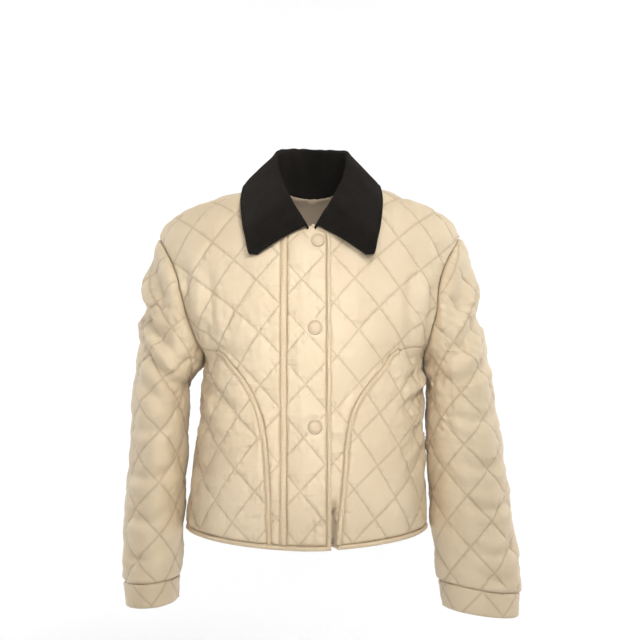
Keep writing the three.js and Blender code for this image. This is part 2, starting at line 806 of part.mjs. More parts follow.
const seamHeight = POCKET_SEAM_END.z;
const neckBottom = bodyHeight('front', NECK.centre, -NECK.front);

function neckAngle(x) {
  return Math.asin((x - NECK.centre) / NECK.half);
}

// Outline of half a front, from a line beside the centre to the side seam
function frontHalf(side, innerX) {
  const sign = side === 'left' ? -1 : 1;
  const seam = sideSeam('front', side, ARMHOLE.bottom, hemEdge);
  const innerHem = frontAt(innerX, HEM.front).x;
  return [
    ...neckLine('front', side, neckAngle(innerX) * sign, quarter),
    ...shoulderSeam('front', side),
    ...armholeLine(side, 'front', ARMHOLE.top, ARMHOLE.bottom),
    ...seam,
    ...hemPath('front', seam[seam.length - 1].x, innerHem, HEM_TOP).slice(1),
    ...straightDown(innerX, HEM.front + HEM_TOP, neckBottom - 4).slice(1),
  ];
}

// Flat region beside a pocket seam, inside it towards the centre or outside it
function besideSeam(side, part) {
  const sign = side === 'left' ? -1 : 1;
  const towards = part === 'inside' ? sign : -sign;
  const seam = pocketSeams[side];
  const upperEnd = pipingStart(side);
  const line = sidestep(seam, seam.map((_, i) => towards * (SEAM_GAP / 2 + (i < upperEnd ? 0 : pipingHalf))));
  const start = line[0].clone().sub(line[1]).multiplyScalar(3).add(line[0]);
  const end = line[line.length - 1].clone().setY(-40);
  const far = sign * (part === 'inside' ? -60 : 400);
  const corners = [new THREE.Vector2(far, end.y), new THREE.Vector2(far, part === 'inside' ? 700 : start.y)];
  if (part === 'inside') corners.push(new THREE.Vector2(start.x, 700));
  return [start, ...line, end, ...corners];
}

function frontLeft() {
  const outline = frontHalf('left', STRIP_X - STRIP_WIDTH / 2);
  const within = besideSeam('left', 'inside');
  return quilted({ name: 'front_left', wrap: wraps.front, outline, within, crossing: origins.left });
}

function frontRight() {
  const outline = frontHalf('right', UNDERLAP_X);
  const within = besideSeam('right', 'inside');
  const flatTo = frontAt(PLACKET_EDGE_X, SNAPS[1].z).x + DIAMOND.width / 4;
  const flatten = (s) => (s > flatTo ? 1 : 0);
  return quilted({ name: 'front_right', wrap: under, outline, within, crossing: origins.right, flatten });
}

function sidePiece(side) {
  const sign = side === 'left' ? -1 : 1;
  const outline = frontHalf(side, sign * 35);
  const within = besideSeam(side, 'outside');
  return quilted({ name: `side_front_${side}`, wrap: wraps.front, outline, within, crossing: origins[side] });
}

function placket() {
  const stripSide = STRIP_X + STRIP_WIDTH / 2;
  const edge = PLACKET_EDGE_X - BINDING_WIDTH;
  const corner = PLACKET_CORNER;
  const outline = [
    ...neckLine('front', 'left', -neckAngle(stripSide), 0),
    frontAt(edge - 4, corner.z + 3),
    frontAt(edge, corner.z - 3),
    ...straightDown(edge, corner.z - 8, HEM.front + HEM_TOP).slice(1),
    ...hemPath('front', frontAt(edge, HEM.front).x, frontAt(stripSide, HEM.front).x, HEM_TOP).slice(1),
    ...straightDown(stripSide, HEM.front + HEM_TOP, neckBottom).slice(1, -1),
  ];
  const seats = SNAPS.map(({ x, z }) => ({ place: frontAt(x, z) }));
  return quilted({ name: 'placket', wrap: over, outline, crossing: origins.left, seats });
}

const shellTop = WALL + PUFF * 0.6;

// Rounded section of a binding or piping, by distance across and rise
function roundSection(width, low, high) {
  const half = width / 2 - SEAM_GAP / 2;
  const shoulder = mix(low, high, 0.7);
  const flank = half * 0.55;
  return [[-half, low], [half, low], [half, shoulder], [flank, high], [-flank, high], [-half, shoulder]];
}

function strip() {
  const path = straightDown(STRIP_X, neckBottom + 6, HEM.front + HEM_TOP + 1);
  const section = roundSection(STRIP_WIDTH - 0.3, 0, WALL + 1);
  return ribbon('placket_strip', stationsAlong(wraps.front, path), section, TRIM);
}

function edgeBinding() {
  const path = straightDown(PLACKET_EDGE_X - BINDING_WIDTH / 2, PLACKET_CORNER.z, HEM.front + HEM_TOP + 1);
  const section = roundSection(BINDING_WIDTH - 0.3, 0.3, shellTop + 1);
  return ribbon('placket_binding', stationsAlong(over, path), section, TRIM);
}

function piping(side) {
  const path = pocketSeams[side].slice(pipingStart(side)).map((place) => place.clone());
  path[path.length - 1].y += 1;
  const section = roundSection(PIPING.width - 0.4, 0, WALL + PIPING.rise);
  return ribbon(`piping_${side}`, stationsAlong(wraps.front, path), section, TRIM);
}

// Hem binding: a strip just below the panels' lower edges
function hemBinding(name, wrap, face, from, to) {
  const section = roundSection(BINDING_WIDTH, 0, shellTop + 0.6);
  const path = hemPath(face, from, to, BINDING_WIDTH / 2 - 0.6);
  return ribbon(name, stationsAlong(wrap, path), section, TRIM);
}

function hemBindings() {
  const edge = wraps.front.reach(1, HEM.side) - SEAM_GAP / 2;
  const backEdge = wraps.back.reach(1, HEM.side) - SEAM_GAP / 2;
  const overEdge = frontAt(PLACKET_EDGE_X, HEM.front).x;
  const underEdge = frontAt(UNDERLAP_X, HEM.front).x;
  return [
    hemBinding('hem_binding_front_left', over, 'front', -edge, overEdge),
    hemBinding('hem_binding_front_right', under, 'front', underEdge, edge),
    hemBinding('hem_binding_back', wraps.back, 'back', -backEdge, backEdge),
  ];
}

// Sleeves and cuffs
function cuffHeight(side, kind, s) {
  const cuff = CUFFS[side];
  const share = Math.min(Math.abs(s) / sleeves[side].reach(1, cuff[`${kind}Outer`]), 1);
  return mix(cuff[`${kind}Outer`], cuff[`${kind}Inner`], smooth(share));
}

function cuffLine(side, kind, from, to) {
  return spread(from, to, SEAM_CORNERS).map((s) => sleeves[side].flat(s, cuffHeight(side, kind, s)));
}

function underarm(side, turn, from, to) {
  const wrap = sleeves[side];
  return spread(from, to, SEAM_CORNERS).map((z) => wrap.flat(turn * wrap.reach(turn, z), z));
}

function sleevePiece(side) {
  const wrap = sleeves[side];
  const cap = (turn) => {
    const face = sleeveTurn(side, 'front') === turn ? 'front' : 'back';
    return armholeHeights(ARMHOLE_CORNERS).map((z) => sleeveArmhole(side, face, z));
  };
  const low = CUFFS[side].seamInner;
  const outline = [
    ...cap(1),
    ...underarm(side, 1, ARMHOLE.bottom - 3, low),
    ...cuffLine(side, 'seam', wrap.reach(1, low), -wrap.reach(-1, low)).slice(1, -1),
    ...underarm(side, -1, low, ARMHOLE.bottom - 3),
    ...cap(-1).reverse(),
  ];
  const crossing = new THREE.Vector2(0, 300);
  return quilted({ name: `sleeve_${side}`, wrap, outline, crossing, gap: SLEEVE_GAP });
}

function cuffPiece(side) {
  const wrap = sleeves[side];
  const { seamInner, edgeInner } = CUFFS[side];
  const outline = [
    ...cuffLine(side, 'seam', -wrap.reach(-1, seamInner), wrap.reach(1, seamInner)),
    ...cuffLine(side, 'edge', wrap.reach(1, edgeInner), -wrap.reach(-1, edgeInner)),
  ];
  const crossing = new THREE.Vector2(DIAMOND.width / 4, 20);
  return quilted({ name: `cuff_${side}`, wrap, outline, crossing, puff: PUFF / 2 });
}

// Collar: from its front end round the neck. Each row gives the neck seam, the fold and
// the outer edge as distance from the collar's middle, depth and height.
const COLLAR_WALL = 2.6;
const COLLAR_ROWS = [
  { seam: [4, -86, -68], fold: [5, -90, -57], edge: [75, -106, -106] },
  { seam: [8, -85, -64], fold: [11, -88, -47], edge: [86, -104, -105] },
  { seam: [17, -81, -55], fold: [21, -82, -31], edge: [92, -98, -84] },
  { seam: [30, -74, -45], fold: [33, -68, -10], edge: [97, -84, -62] },
  { seam: [47, -52, -20], fold: [46, -42, 22], edge: [101, -50, -26] },
  { seam: [58, -24, -4], fold: [51, -18, 44], edge: [98, -8, -6] },
  { seam: [58, 12, -3], fold: [49, 16, 56], edge: [86, 38, -9] },
  { seam: [38, 42, -9], fold: [32, 42, 61], edge: [56, 70, -28] },
  { seam: [0, 53, -19], fold: [0, 54, 62], edge: [0, 80, -34] },
];
// Height of the collar's edges above the table's places, and its number of rings
const COLLAR_LIFT = 8;
const COLLAR_RINGS = 44;

function collarSection(row) {
  const seam = new THREE.Vector3(...row.seam);
  const fold = new THREE.Vector3(...row.fold);
  const edge = new THREE.Vector3(...row.edge);
  const away = edge.clone().sub(seam).setZ(0).normalize();
  const lift = new THREE.Vector3(0, 0, 1);
  const inner = (point, out, up) => point.clone().addScaledVector(away, out).addScaledVector(lift, up);
  return [
    inner(seam, 0, COLLAR_WALL + COLLAR_LIFT),
    inner(fold, 0, -2),
    inner(fold, 3.2, 0.4),
    inner(fold.clone().lerp(edge, 0.45), 3, 6),
    inner(edge, 0, COLLAR_WALL + COLLAR_LIFT),
    inner(edge, 0, COLLAR_LIFT),
    inner(fold.clone().lerp(edge, 0.45), 1, 3),
    inner(fold, 4, -COLLAR_WALL - 2),
    inner(fold, COLLAR_WALL, -COLLAR_WALL - 3),
    inner(seam, COLLAR_WALL, COLLAR_WALL + COLLAR_LIFT),
  ];
}

function collar() {
  const half = COLLAR_ROWS.map((row) => collarSection(row));
  const columns = half[0].map((_, i) => {
    const left = half.map((ring) => new THREE.Vector3(-ring[i].x, ring[i].y, ring[i].z));
    const right = half.slice(0, -1).map((ring) => ring[i].clone()).reverse();
    const curve = new THREE.CatmullRomCurve3([...left, ...right], false, 'centripetal');
    return spread(0, 1, COLLAR_RINGS).map((k) => curve.getPoint(k));
  });
  const rings = columns[0].map((_, r) => columns.map((line) => line[r]));
  const mesh = swept('collar', rings, CORDUROY);
  mesh.position.x = NECK.centre;
  return mesh;
}

// Snap caps: a shallow dome with a ring, seated in the placket
function snapCap({ name, x, z }) {
  const { radius, thickness } = SNAP;
  const profile = [[0, 0], [radius, 0], [radius, thickness * 0.6], [radius * 0.9, thickness],
    [radius * 0.76, thickness], [radius * 0.7, thickness * 0.75], [0, thickness * 0.9]];
  const geometry = new THREE.LatheGeometry(profile.map(([r, h]) => new THREE.Vector2(r, h)), 24);
  const mesh = named(name, geometry, CAP);
  const place = frontAt(x, z);
  const direction = wraps.front.outward(place.x, place.y);
  mesh.position.copy(over.point(place.x, place.y, WALL + 0.7));
  mesh.quaternion.setFromUnitVectors(new THREE.Vector3(0, 1, 0), direction);
  return mesh;
}

const jacket = new THREE.Group();
jacket.add(backPiece(), frontLeft(), frontRight(), sidePiece('left'), sidePiece('right'));
jacket.add(placket(), strip(), edgeBinding(), piping('left'), piping('right'));
jacket.add(...hemBindings());
for (const side of ['left', 'right']) jacket.add(sleevePiece(side), cuffPiece(side));
jacket.add(collar());
for (const snap of SNAPS) jacket.add(snapCap(snap));

export default jacket;
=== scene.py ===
import math

import bpy
import numpy as np
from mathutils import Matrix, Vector
from mathutils.geometry import delaunay_2d_cdt


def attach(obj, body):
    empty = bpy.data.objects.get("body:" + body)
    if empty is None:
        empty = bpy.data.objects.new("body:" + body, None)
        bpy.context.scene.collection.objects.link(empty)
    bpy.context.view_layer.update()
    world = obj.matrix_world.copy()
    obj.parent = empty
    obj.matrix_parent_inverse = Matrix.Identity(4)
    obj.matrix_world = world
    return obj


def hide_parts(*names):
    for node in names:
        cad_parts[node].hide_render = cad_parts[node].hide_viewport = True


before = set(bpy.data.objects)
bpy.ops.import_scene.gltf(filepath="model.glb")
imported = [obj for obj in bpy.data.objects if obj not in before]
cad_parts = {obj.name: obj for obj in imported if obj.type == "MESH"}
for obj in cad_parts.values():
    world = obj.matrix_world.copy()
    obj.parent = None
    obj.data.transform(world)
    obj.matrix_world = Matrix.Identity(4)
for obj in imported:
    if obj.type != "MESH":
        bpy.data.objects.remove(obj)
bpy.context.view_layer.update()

# Sizes are in millimetres and become metres when a mesh is made. The front faces -Y.
MM = 0.001

# Driving dimensions, the same as the frame's
DIAMOND_WIDTH, DIAMOND_HEIGHT = 62.6, 72.8
WALL = 2.0
PUFF = 3.9
SEAM_GAP = 0.3
BINDING_WIDTH = 5.5
STRIP_WIDTH = 8.0
PIPING_WIDTH = 7.0
LIFT = 3.6

# Inner skin of the body: height, sideways lean, half width, depth forwards, depth backwards
BODY_COLUMNS = ("z", "lean", "half", "front", "back")
BODY_ROWS = [
    (-520, -2, 172, 142, 138),
    (-471, -2, 169, 140, 135),
    (-420, 0, 165, 137, 131),
    (-362, 4, 159, 133, 125),
    (-304, 6, 156, 130, 120),
    (-246, 8, 156, 129, 117),
    (-215, 7, 176, 127, 115),
    (-174, 4, 206, 121, 111),
    (-148, 2, 214, 114, 107),
    (-107, 1, 217, 100, 98),
    (-80, 1, 215, 90, 91),
    (-60, 1, 208, 81, 84),
    (-42, 1, 191, 70, 75),
    (-30, 1, 170, 62, 67),
    (-19, 2, 142, 54, 58),
    (-8, 4, 105, 42, 46),
    (-2, 5, 75, 32, 36),
    (4, 5, 44, 20, 24),
]
BODY_ROUNDNESS = 2.3

# Armhole from the side: an egg, wider low down
ARMHOLE_TOP, ARMHOLE_BOTTOM, ARMHOLE_EGG = -72.0, -242.0, 0.12
ARMHOLE_HALF = {"front": 70.0, "back": 72.0}
SLEEVE_WIDEST = -172.0

# Inner skin of each sleeve: height, outer and inner line from the middle plane,
# half depth, how far its middle lies forward
SLEEVE_COLUMNS = ("z", "outer", "inner", "depth", "forward")
SLEEVE_ROWS = {
    "left": [
        (-606, 256, 191, 56, 28),
        (-560, 260, 188, 60, 24),
        (-523, 261, 185, 62, 20),
        (-471, 259, 184, 65, 14),
        (-422, 256, 181, 69, 9),
        (-362, 252, 180, 71, 4),
        (-304, 249, 178, 73, 1),
        (-275, 246, 174, 74, 0),
        (-242, 242, 150, 74, -1),
        (-217, 240, 150, 73, -1),
        (-174, 236, 150, 72, -1),
        (-150, 234, 150, 72, -1),
        (-121, 229, 150, 72, -1),
        (-100, 223, 150, 72, -1),
        (-80, 216, 150, 72, -1),
        (-70, 211, 150, 72, -1),
    ],
    "right": [
        (-626, 296, 198, 44, 26),
        (-592, 298, 194, 45, 24),
        (-561, 299, 190, 47, 21),
        (-526, 297, 185, 49, 18),
        (-481, 291, 179.5, 54, 12),
        (-425, 284, 177, 58, 7),
        (-348, 273, 174.5, 64, 3),
        (-300, 265, 174.5, 68, 1),
        (-275, 262, 175, 70, 0),
        (-242, 256, 166, 73, -1),
        (-217, 250, 166, 73, -1),
        (-174, 243, 166, 72, -1),
        (-133, 237, 166, 72, -1),
        (-110, 232, 166, 72, -1),
        (-91, 225, 166, 72, -1),
        (-80, 219, 166, 72, -1),
        (-70, 212, 166, 72, -1),
    ],
}
# Cuffs: heights of seam and lower edge, at the outer and at the inner line
CUFFS = {
    "left": {"seam": (-560, -553), "edge": (-594, -588)},
    "right": {"seam": (-578, -560), "edge": (-612, -598)},
}

HEM_FRONT, HEM_SIDE, HEM_BACK = -501.0, -486.0, -495.0
NECK_CENTRE, NECK_HALF = 5.0, 60.0
NECK_DEPTH = {"front": 80.0, "back": 50.0}
STRIP_X, PLACKET_EDGE_X, UNDERLAP_X = -33.0, 31.5, -2.0
PLACKET_CORNER_Z = -68.0
SNAPS = [("snap_cap_top", 14, -78), ("snap_cap_middle", 10, -199), ("snap_cap_bottom", 10, -334)]
POCKET_SEAMS = {
    "left": [(-126, -231), (-107, -251), (-85, -278), (-68, -313), (-58.5, -360), (-54, -431), (-52.5, -520)],
    "right": [(127, -230), (105, -255), (83, -280), (64, -311), (54, -355), (49, -421), (42, -520)],
}
POCKET_SEAM_END = (36.0, -222.0)
CROSSINGS = {"left": (-3.7, -203.5), "right": (39.8, -237.5)}
FALL_BACK_FROM, FALL_BACK_DEPTH, FALL_BACK_RAMP = -412.0, 30.0, 9.0


def smooth(k):
    c = np.clip(k, 0, 1)
    return c * c * (3 - 2 * c)


def mix(a, b, k):
    return a + (b - a) * k


def sign_of(side):
    return -1 if side == "left" else 1


def column(rows, names, name):
    """A smooth curve through one column of a table, without overshoot."""
    table = np.array(sorted(rows), float)
    z, y = table[:, 0], table[:, names.index(name)]
    rise = np.diff(y) / np.diff(z)
    below, above = rise[:-1], rise[1:]
    total = np.where(below + above == 0, 1, below + above)
    both = np.where(below * above > 0, 2 * below * above / total, 0)
    slope = np.concatenate([rise[:1], both, rise[-1:]])

    def curve(at):
        i = np.clip(np.searchsorted(z, at) - 1, 0, len(z) - 2)
        span = z[i + 1] - z[i]
        k = np.clip((at - z[i]) / span, 0, 1)
        start = y[i] * (1 + 2 * k) * (1 - k) ** 2 + slope[i] * span * k * (1 - k) ** 2
        return start + y[i + 1] * (3 - 2 * k) * k**2 + slope[i + 1] * span * k**2 * (k - 1)

    return curve


body = {name: column(BODY_ROWS, BODY_COLUMNS, name) for name in BODY_COLUMNS[1:]}


class Noise:
    """Smooth value noise over flat coordinates, the same on each run."""

    def __init__(self, seed):
        self.values = np.random.default_rng(seed).uniform(-1, 1, (128, 128))

    def __call__(self, s, t, size_s, size_t=None):
        a, b = np.asarray(s) / size_s + 1000, np.asarray(t) / (size_t or size_s) + 1000
        i, j = np.floor(a).astype(int), np.floor(b).astype(int)
        u, v = a - i, b - j
        u, v = u**3 * (u * (6 * u - 15) + 10), v**3 * (v * (6 * v - 15) + 10)
        at = lambda p, q: self.values[p % 128, q % 128]
        low = mix(at(i, j), at(i + 1, j), u)
        high = mix(at(i, j + 1), at(i + 1, j + 1), u)
        return mix(low, high, v)


class Wrap:
    """A stack of level rings unrolled to flat coordinates: s runs round, t runs up."""

    samples = 161
    step_z = 2.0
    step = 2.0

    def __init__(self, ring_point, low, high, crown):
        self.ring_point, self.low, self.crown = ring_point, low, crown
        self.z = np.arange(low, high + 0.01, self.step_z)
        self.rings = {sign: self.measure(sign, self.z) for sign in (-1, 1)}
        self.reach_at = {sign: self.rings[sign][2][:, -1] for sign in (-1, 1)}
        far = max(q.max() for q in self.reach_at.values()) + 6
        count = math.ceil(far / self.step)
        self.s = np.arange(-count, count + 1) * self.step
        self.build()
        self.seams = None

    def measure(self, sign, z):
        k = np.linspace(0, 1, self.samples)
        x, y = self.ring_point(sign, np.asarray(z, float)[:, None], k[None, :])
        length = np.hypot(np.diff(x, axis=1), np.diff(y, axis=1))
        along = np.concatenate([np.zeros((len(x), 1)), np.cumsum(length, axis=1)], axis=1)
        return x, y, along

    def reach(self, sign, z):
        return float(self.measure(sign, [z])[2][0, -1])

    def on_rings(self, s, z):
        """Points of the rings at heights z, one for each s, going straight on past an end."""
        sign = -1 if s < 0 else 1
        x, y, along = self.measure(sign, z)
        out = np.empty((len(z), 3))
        for row in range(len(z)):
            total = along[row, -1]
            near = max(total - 2.5, 0)
            a = abs(s)
            ends = [np.interp([near, total], along[row], line[row]) for line in (x, y)]
            over = max(a - total, 0) / max(total - near, 1e-6)
            flat = [np.interp(min(a, total), along[row], line[row]) for line in (x, y)]
            out[row] = [flat[i] + over * (ends[i][1] - ends[i][0]) for i in (0, 1)] + [z[row]]
        return out

    def up_line(self, s):
        sign = -1 if s < 0 else 1
        short = (self.z > self.crown) & (self.reach_at[sign] < abs(s))
        last = int(np.argmax(short)) if short.any() else len(self.z)
        z = self.z[:last]
        if last < len(self.z):
            inside, outside = self.z[last - 1], self.z[last]
            for _ in range(18):
                middle = (inside + outside) / 2
                if self.reach(sign, middle) < abs(s):
                    outside = middle
                else:
                    inside = middle
            if inside > z[-1] + 1e-3:
                z = np.append(z, inside)
        return z, self.on_rings(s, z)

    def build(self):
        columns = [self.up_line(s) for s in self.s]
        lengths = []
        for z, points in columns:
            steps = np.linalg.norm(np.diff(points, axis=0), axis=1)
            lengths.append(np.concatenate([[0], np.cumsum(steps)]))
        self.heights = [(z, t) for (z, _), t in zip(columns, lengths)]
        self.t = np.arange(-4, max(t[-1] for t in lengths) + 8, self.step)
        grid = np.empty((len(self.s), len(self.t), 3))
        for i, ((z, points), t) in enumerate(zip(columns, lengths)):
            for axis in range(3):
                grid[i, :, axis] = np.interp(self.t, t, points[:, axis])
            over = self.t > t[-1]
            tip = (points[-1] - points[-3]) / max(t[-1] - t[-3], 1e-6)
            grid[i, over] = points[-1] + (self.t[over] - t[-1])[:, None] * tip
            under = self.t < 0
            grid[i, under] = points[0] + self.t[under][:, None] * np.array([0, 0, 1.0])
        self.grid = grid
        across, up = np.gradient(grid, axis=0), np.gradient(grid, axis=1)
        normal = np.cross(across, up)
        self.normal = normal / np.maximum(np.linalg.norm(normal, axis=2, keepdims=True), 1e-9)

    def sample(self, table, s, t):
        a = np.clip((np.asarray(s) - self.s[0]) / self.step, 0, len(self.s) - 1.001)
        b = np.clip((np.asarray(t) - self.t[0]) / self.step, 0, len(self.t) - 1.001)
        i, j = a.astype(int), b.astype(int)
        u, v = (a - i)[:, None], (b - j)[:, None]
        low = mix(table[i, j], table[i + 1, j], u)
        return mix(low, mix(table[i, j + 1], table[i + 1, j + 1], u), v)

    def t_at(self, s, z):
        a = (s - self.s[0]) / self.step
        i = int(np.clip(a, 0, len(self.s) - 2))
        ends = [np.interp(z, *self.heights[j]) for j in (i, i + 1)]
        return mix(ends[0], ends[1], a - i)

    def flat(self, s, z):
        return np.array([s, self.t_at(s, z)])

    def nearest(self, x, y, z):
        best, found = math.inf, 0.0
        for sign in (-1, 1):
            xs, ys, along = (table[0] for table in self.measure(sign, [z]))
            start = np.stack([xs[:-1], ys[:-1]], 1)
            line = np.stack([np.diff(xs), np.diff(ys)], 1)
            away = np.array([x, y]) - start
            k = np.clip((away * line).sum(1) / np.maximum((line**2).sum(1), 1e-9), 0, 1)
            distance = np.linalg.norm(away - line * k[:, None], axis=1)
            i = int(distance.argmin())
            if distance[i] < best:
                best, found = distance[i], sign * mix(along[i], along[i + 1], k[i])
        return self.flat(found, z)

    def outward(self, s, t):
        own = self.sample(self.normal, s, t)
        own /= np.linalg.norm(own, axis=1, keepdims=True)
        if self.seams is None:
            return own
        places, shared = self.seams
        flat = np.stack([s, t], 1)
        for block in np.array_split(np.arange(len(flat)), max(len(flat) // 4000, 1)):
            gap = np.linalg.norm(flat[block, None] - places[None], axis=2)
            i = gap.argmin(1)
            turn = smooth(1 - gap[np.arange(len(block)), i] / 28)[:, None]
            own[block] = own[block] * (1 - turn) + shared[i] * turn
        return own / np.linalg.norm(own, axis=1, keepdims=True)


def body_wrap(face):
    forwards = -1 if face == "front" else 1
    power = 2 / BODY_ROUNDNESS

    def ring_point(sign, z, k):
        across = body["half"](z) * np.sin(k * math.pi / 2) ** power
        depth = body[face](z) * np.maximum(np.cos(k * math.pi / 2), 0) ** power
        return body["lean"](z) - forwards * sign * across, forwards * depth

    return Wrap(ring_point, -524, 4, -125)


def armhole_y(face, z):
    middle = (ARMHOLE_TOP + ARMHOLE_BOTTOM) / 2
    cosine = np.clip((z - middle) / (ARMHOLE_TOP - middle), -1, 1)
    return ARMHOLE_HALF[face] * np.sqrt(1 - cosine**2) * (1 - ARMHOLE_EGG * cosine)


def armhole_x(side, face, z):
    part = np.minimum(armhole_y(face, z) / body[face](z), 1) ** BODY_ROUNDNESS
    return sign_of(side) * body["lean"](z) + body["half"](z) * (1 - part) ** (1 / BODY_ROUNDNESS)


def sleeve_wrap(side):
    sign = sign_of(side)
    rows = SLEEVE_ROWS[side]
    outer, inner, depth, forward = (column(rows, SLEEVE_COLUMNS, name) for name in SLEEVE_COLUMNS[1:])

    def ring_point(turn, z, k):
        face = "back" if turn * sign > 0 else "front"
        forwards = -1 if face == "front" else 1
        middle = -forward(z)
        on_body = z > ARMHOLE_BOTTOM
        edge_depth = np.where(on_body, np.abs(forwards * armhole_y(face, z) - middle), 0)
        edge = np.where(on_body, armhole_x(side, face, z), inner(z))
        widest = abs(forwards * armhole_y(face, SLEEVE_WIDEST) + forward(SLEEVE_WIDEST))
        lower = np.maximum(widest + depth(z) - depth(SLEEVE_WIDEST), edge_depth)
        half = np.where(z > SLEEVE_WIDEST, edge_depth, lower)
        cosine = np.clip(edge_depth / np.maximum(half, 1e-6), 0, 1)
        start = np.where(z > SLEEVE_WIDEST, 0, -np.arccos(cosine))
        across = (outer(z) - edge) / (1 - np.sin(start))
        angle = mix(math.pi / 2, start, k)
        x = outer(z) - across + across * np.sin(angle)
        return sign * x, middle + forwards * half * np.cos(angle)

    return Wrap(ring_point, rows[0][0], ARMHOLE_TOP, ARMHOLE_BOTTOM)


wraps = {"front": body_wrap("front"), "back": body_wrap("back")}
sleeves = {"left": sleeve_wrap("left"), "right": sleeve_wrap("right")}


def body_armhole(side, face, z):
    forwards = -1 if face == "front" else 1
    x = sign_of(side) * float(armhole_x(side, face, z))
    return wraps[face].nearest(x, forwards * float(armhole_y(face, z)), z)


def sleeve_turn(side, face):
    return 1 if (side == "left") == (face == "front") else -1


def sleeve_armhole(side, face, z):
    wrap, turn = sleeves[side], sleeve_turn(side, face)
    return wrap.flat(turn * wrap.reach(turn, z), z)


def armhole_heights(count):
    middle = (ARMHOLE_TOP + ARMHOLE_BOTTOM) / 2
    return middle + (ARMHOLE_TOP - middle) * np.cos(np.linspace(0, math.pi, count + 1)) * 0.9995


def share_armholes():
    """Body and sleeve walls share one direction along each armhole."""
    found = {id(w): ([], []) for w in (*wraps.values(), *sleeves.values())}
    for side in ("left", "right"):
        for face in ("front", "back"):
            for z in armhole_heights(90):
                on_body, on_sleeve = body_armhole(side, face, z), sleeve_armhole(side, face, z)
                shared = wraps[face].outward(on_body[:1], on_body[1:])[0]
                shared = shared + sleeves[side].outward(on_sleeve[:1], on_sleeve[1:])[0]
                shared /= np.linalg.norm(shared)
                for wrap, place in ((wraps[face], on_body), (sleeves[side], on_sleeve)):
                    found[id(wrap)][0].append(place)
                    found[id(wrap)][1].append(shared)
    for wrap in (*wraps.values(), *sleeves.values()):
        wrap.seams = tuple(np.array(part) for part in found[id(wrap)])


share_armholes()


# Flat outlines
def body_height(face, x, y):
    low, high = -150.0, 4.0
    for _ in range(30):
        z = (low + high) / 2
        part = abs((x - body["lean"](z)) / body["half"](z)) ** BODY_ROUNDNESS
        if part + abs(y / body[face](z)) ** BODY_ROUNDNESS < 1:
            low = z
        else:
            high = z
    return low


def neck_point(face, side, angle):
    forwards = -1 if face == "front" else 1
    x = NECK_CENTRE + sign_of(side) * NECK_HALF * math.sin(angle)
    y = forwards * NECK_DEPTH[face] * math.cos(angle)
    return wraps[face].nearest(x, y, body_height(face, x, y))


def front_at(x, z):
    part = min(abs(x - body["lean"](z)) / body["half"](z), 1) ** BODY_ROUNDNESS
    return wraps["front"].nearest(x, -body["front"](z) * (1 - part) ** (1 / BODY_ROUNDNESS), z)


def face_sign(face, side):
    return 1 if (face == "front") == (side == "right") else -1


def hem_place(face, s, above=0.0):
    share = min(abs(s) / wraps[face].reach(1, HEM_SIDE), 1)
    middle = HEM_FRONT if face == "front" else HEM_BACK
    return wraps[face].flat(s, mix(middle, HEM_SIDE, float(smooth(share)))) + [0, above]


def hem_path(face, start, end, above):
    count = math.ceil(abs(end - start) / 8)
    return [hem_place(face, s, above) for s in np.linspace(start, end, count + 1)]


def side_seam(face, side, start, end):
    wrap, sign = wraps[face], face_sign(face, side)
    return [wrap.flat(sign * wrap.reach(sign, z), z) for z in np.linspace(start, end, 40)]


def shoulder_seam(face, side):
    wrap, sign = wraps[face], face_sign(face, side)
    top = body_height(face, NECK_CENTRE + sign_of(side) * NECK_HALF, 0)
    return [wrap.flat(sign * wrap.reach(sign, z), z) for z in np.linspace(top, ARMHOLE_TOP, 40)]


def armhole_line(side, face):
    return [body_armhole(side, face, z) for z in armhole_heights(70)]


def neck_line(face, side, start, end):
    return [neck_point(face, side, angle) for angle in np.linspace(start, end, 24)]


def straight_down(x, top, bottom, step=8):
    count = math.ceil(abs(top - bottom) / step)
    return [front_at(x, z) for z in np.linspace(top, bottom, count + 1)]


def catmull_rom(points, count):
    """Evenly spaced points on a smooth curve through the given ones."""
    points = np.array(points, float)
    ends = np.concatenate([[2 * points[0] - points[1]], points, [2 * points[-1] - points[-2]]])
    fine = []
    for i in range(len(points) - 1):
        a, b, c, d = ends[i : i + 4]
        for k in np.linspace(0, 1, 24, endpoint=False):
            fine.append(0.5 * (2 * b + (c - a) * k + (2 * a - 5 * b + 4 * c - d) * k**2
                               + (3 * b - a - 3 * c + d) * k**3))
    fine = np.array(fine + [points[-1]])
    along = np.concatenate([[0], np.cumsum(np.linalg.norm(np.diff(fine, axis=0), axis=1))])
    at = np.linspace(0, along[-1], count + 1)
    return np.stack([np.interp(at, along, fine[:, axis]) for axis in range(fine.shape[1])], 1)


def pocket_seam(side):
    places = [front_at(x, z) for x, z in POCKET_SEAMS[side]]
    y, z = POCKET_SEAM_END
    places.insert(0, wraps["front"].nearest(sign_of(side) * float(armhole_x(side, "front", z)), -y, z))
    places[-1] = np.array([places[-1][0], hem_place("front", places[-1][0], BINDING_WIDTH)[1]])
    return catmull_rom(places, 90)


def across_of(path):
    path = np.asarray(path, float)
    along = np.gradient(path, axis=0)
    along /= np.linalg.norm(along, axis=1, keepdims=True)
    return np.stack([along[:, 1], -along[:, 0]], 1)


def sidestep(path, distance):
    return np.asarray(path) + across_of(path) * distance


def distinct(outline, least=0.6):
    kept = [np.asarray(outline[0], float)]
    for place in outline[1:]:
        if np.linalg.norm(place - kept[-1]) > least:
            kept.append(np.asarray(place, float))
    if np.linalg.norm(kept[0] - kept[-1]) < least:
        kept.pop()
    return np.array(kept)


def area_of(outline):
    x, y = outline[:, 0], outline[:, 1]
    return 0.5 * float(np.sum(x * np.roll(y, -1) - y * np.roll(x, -1)))


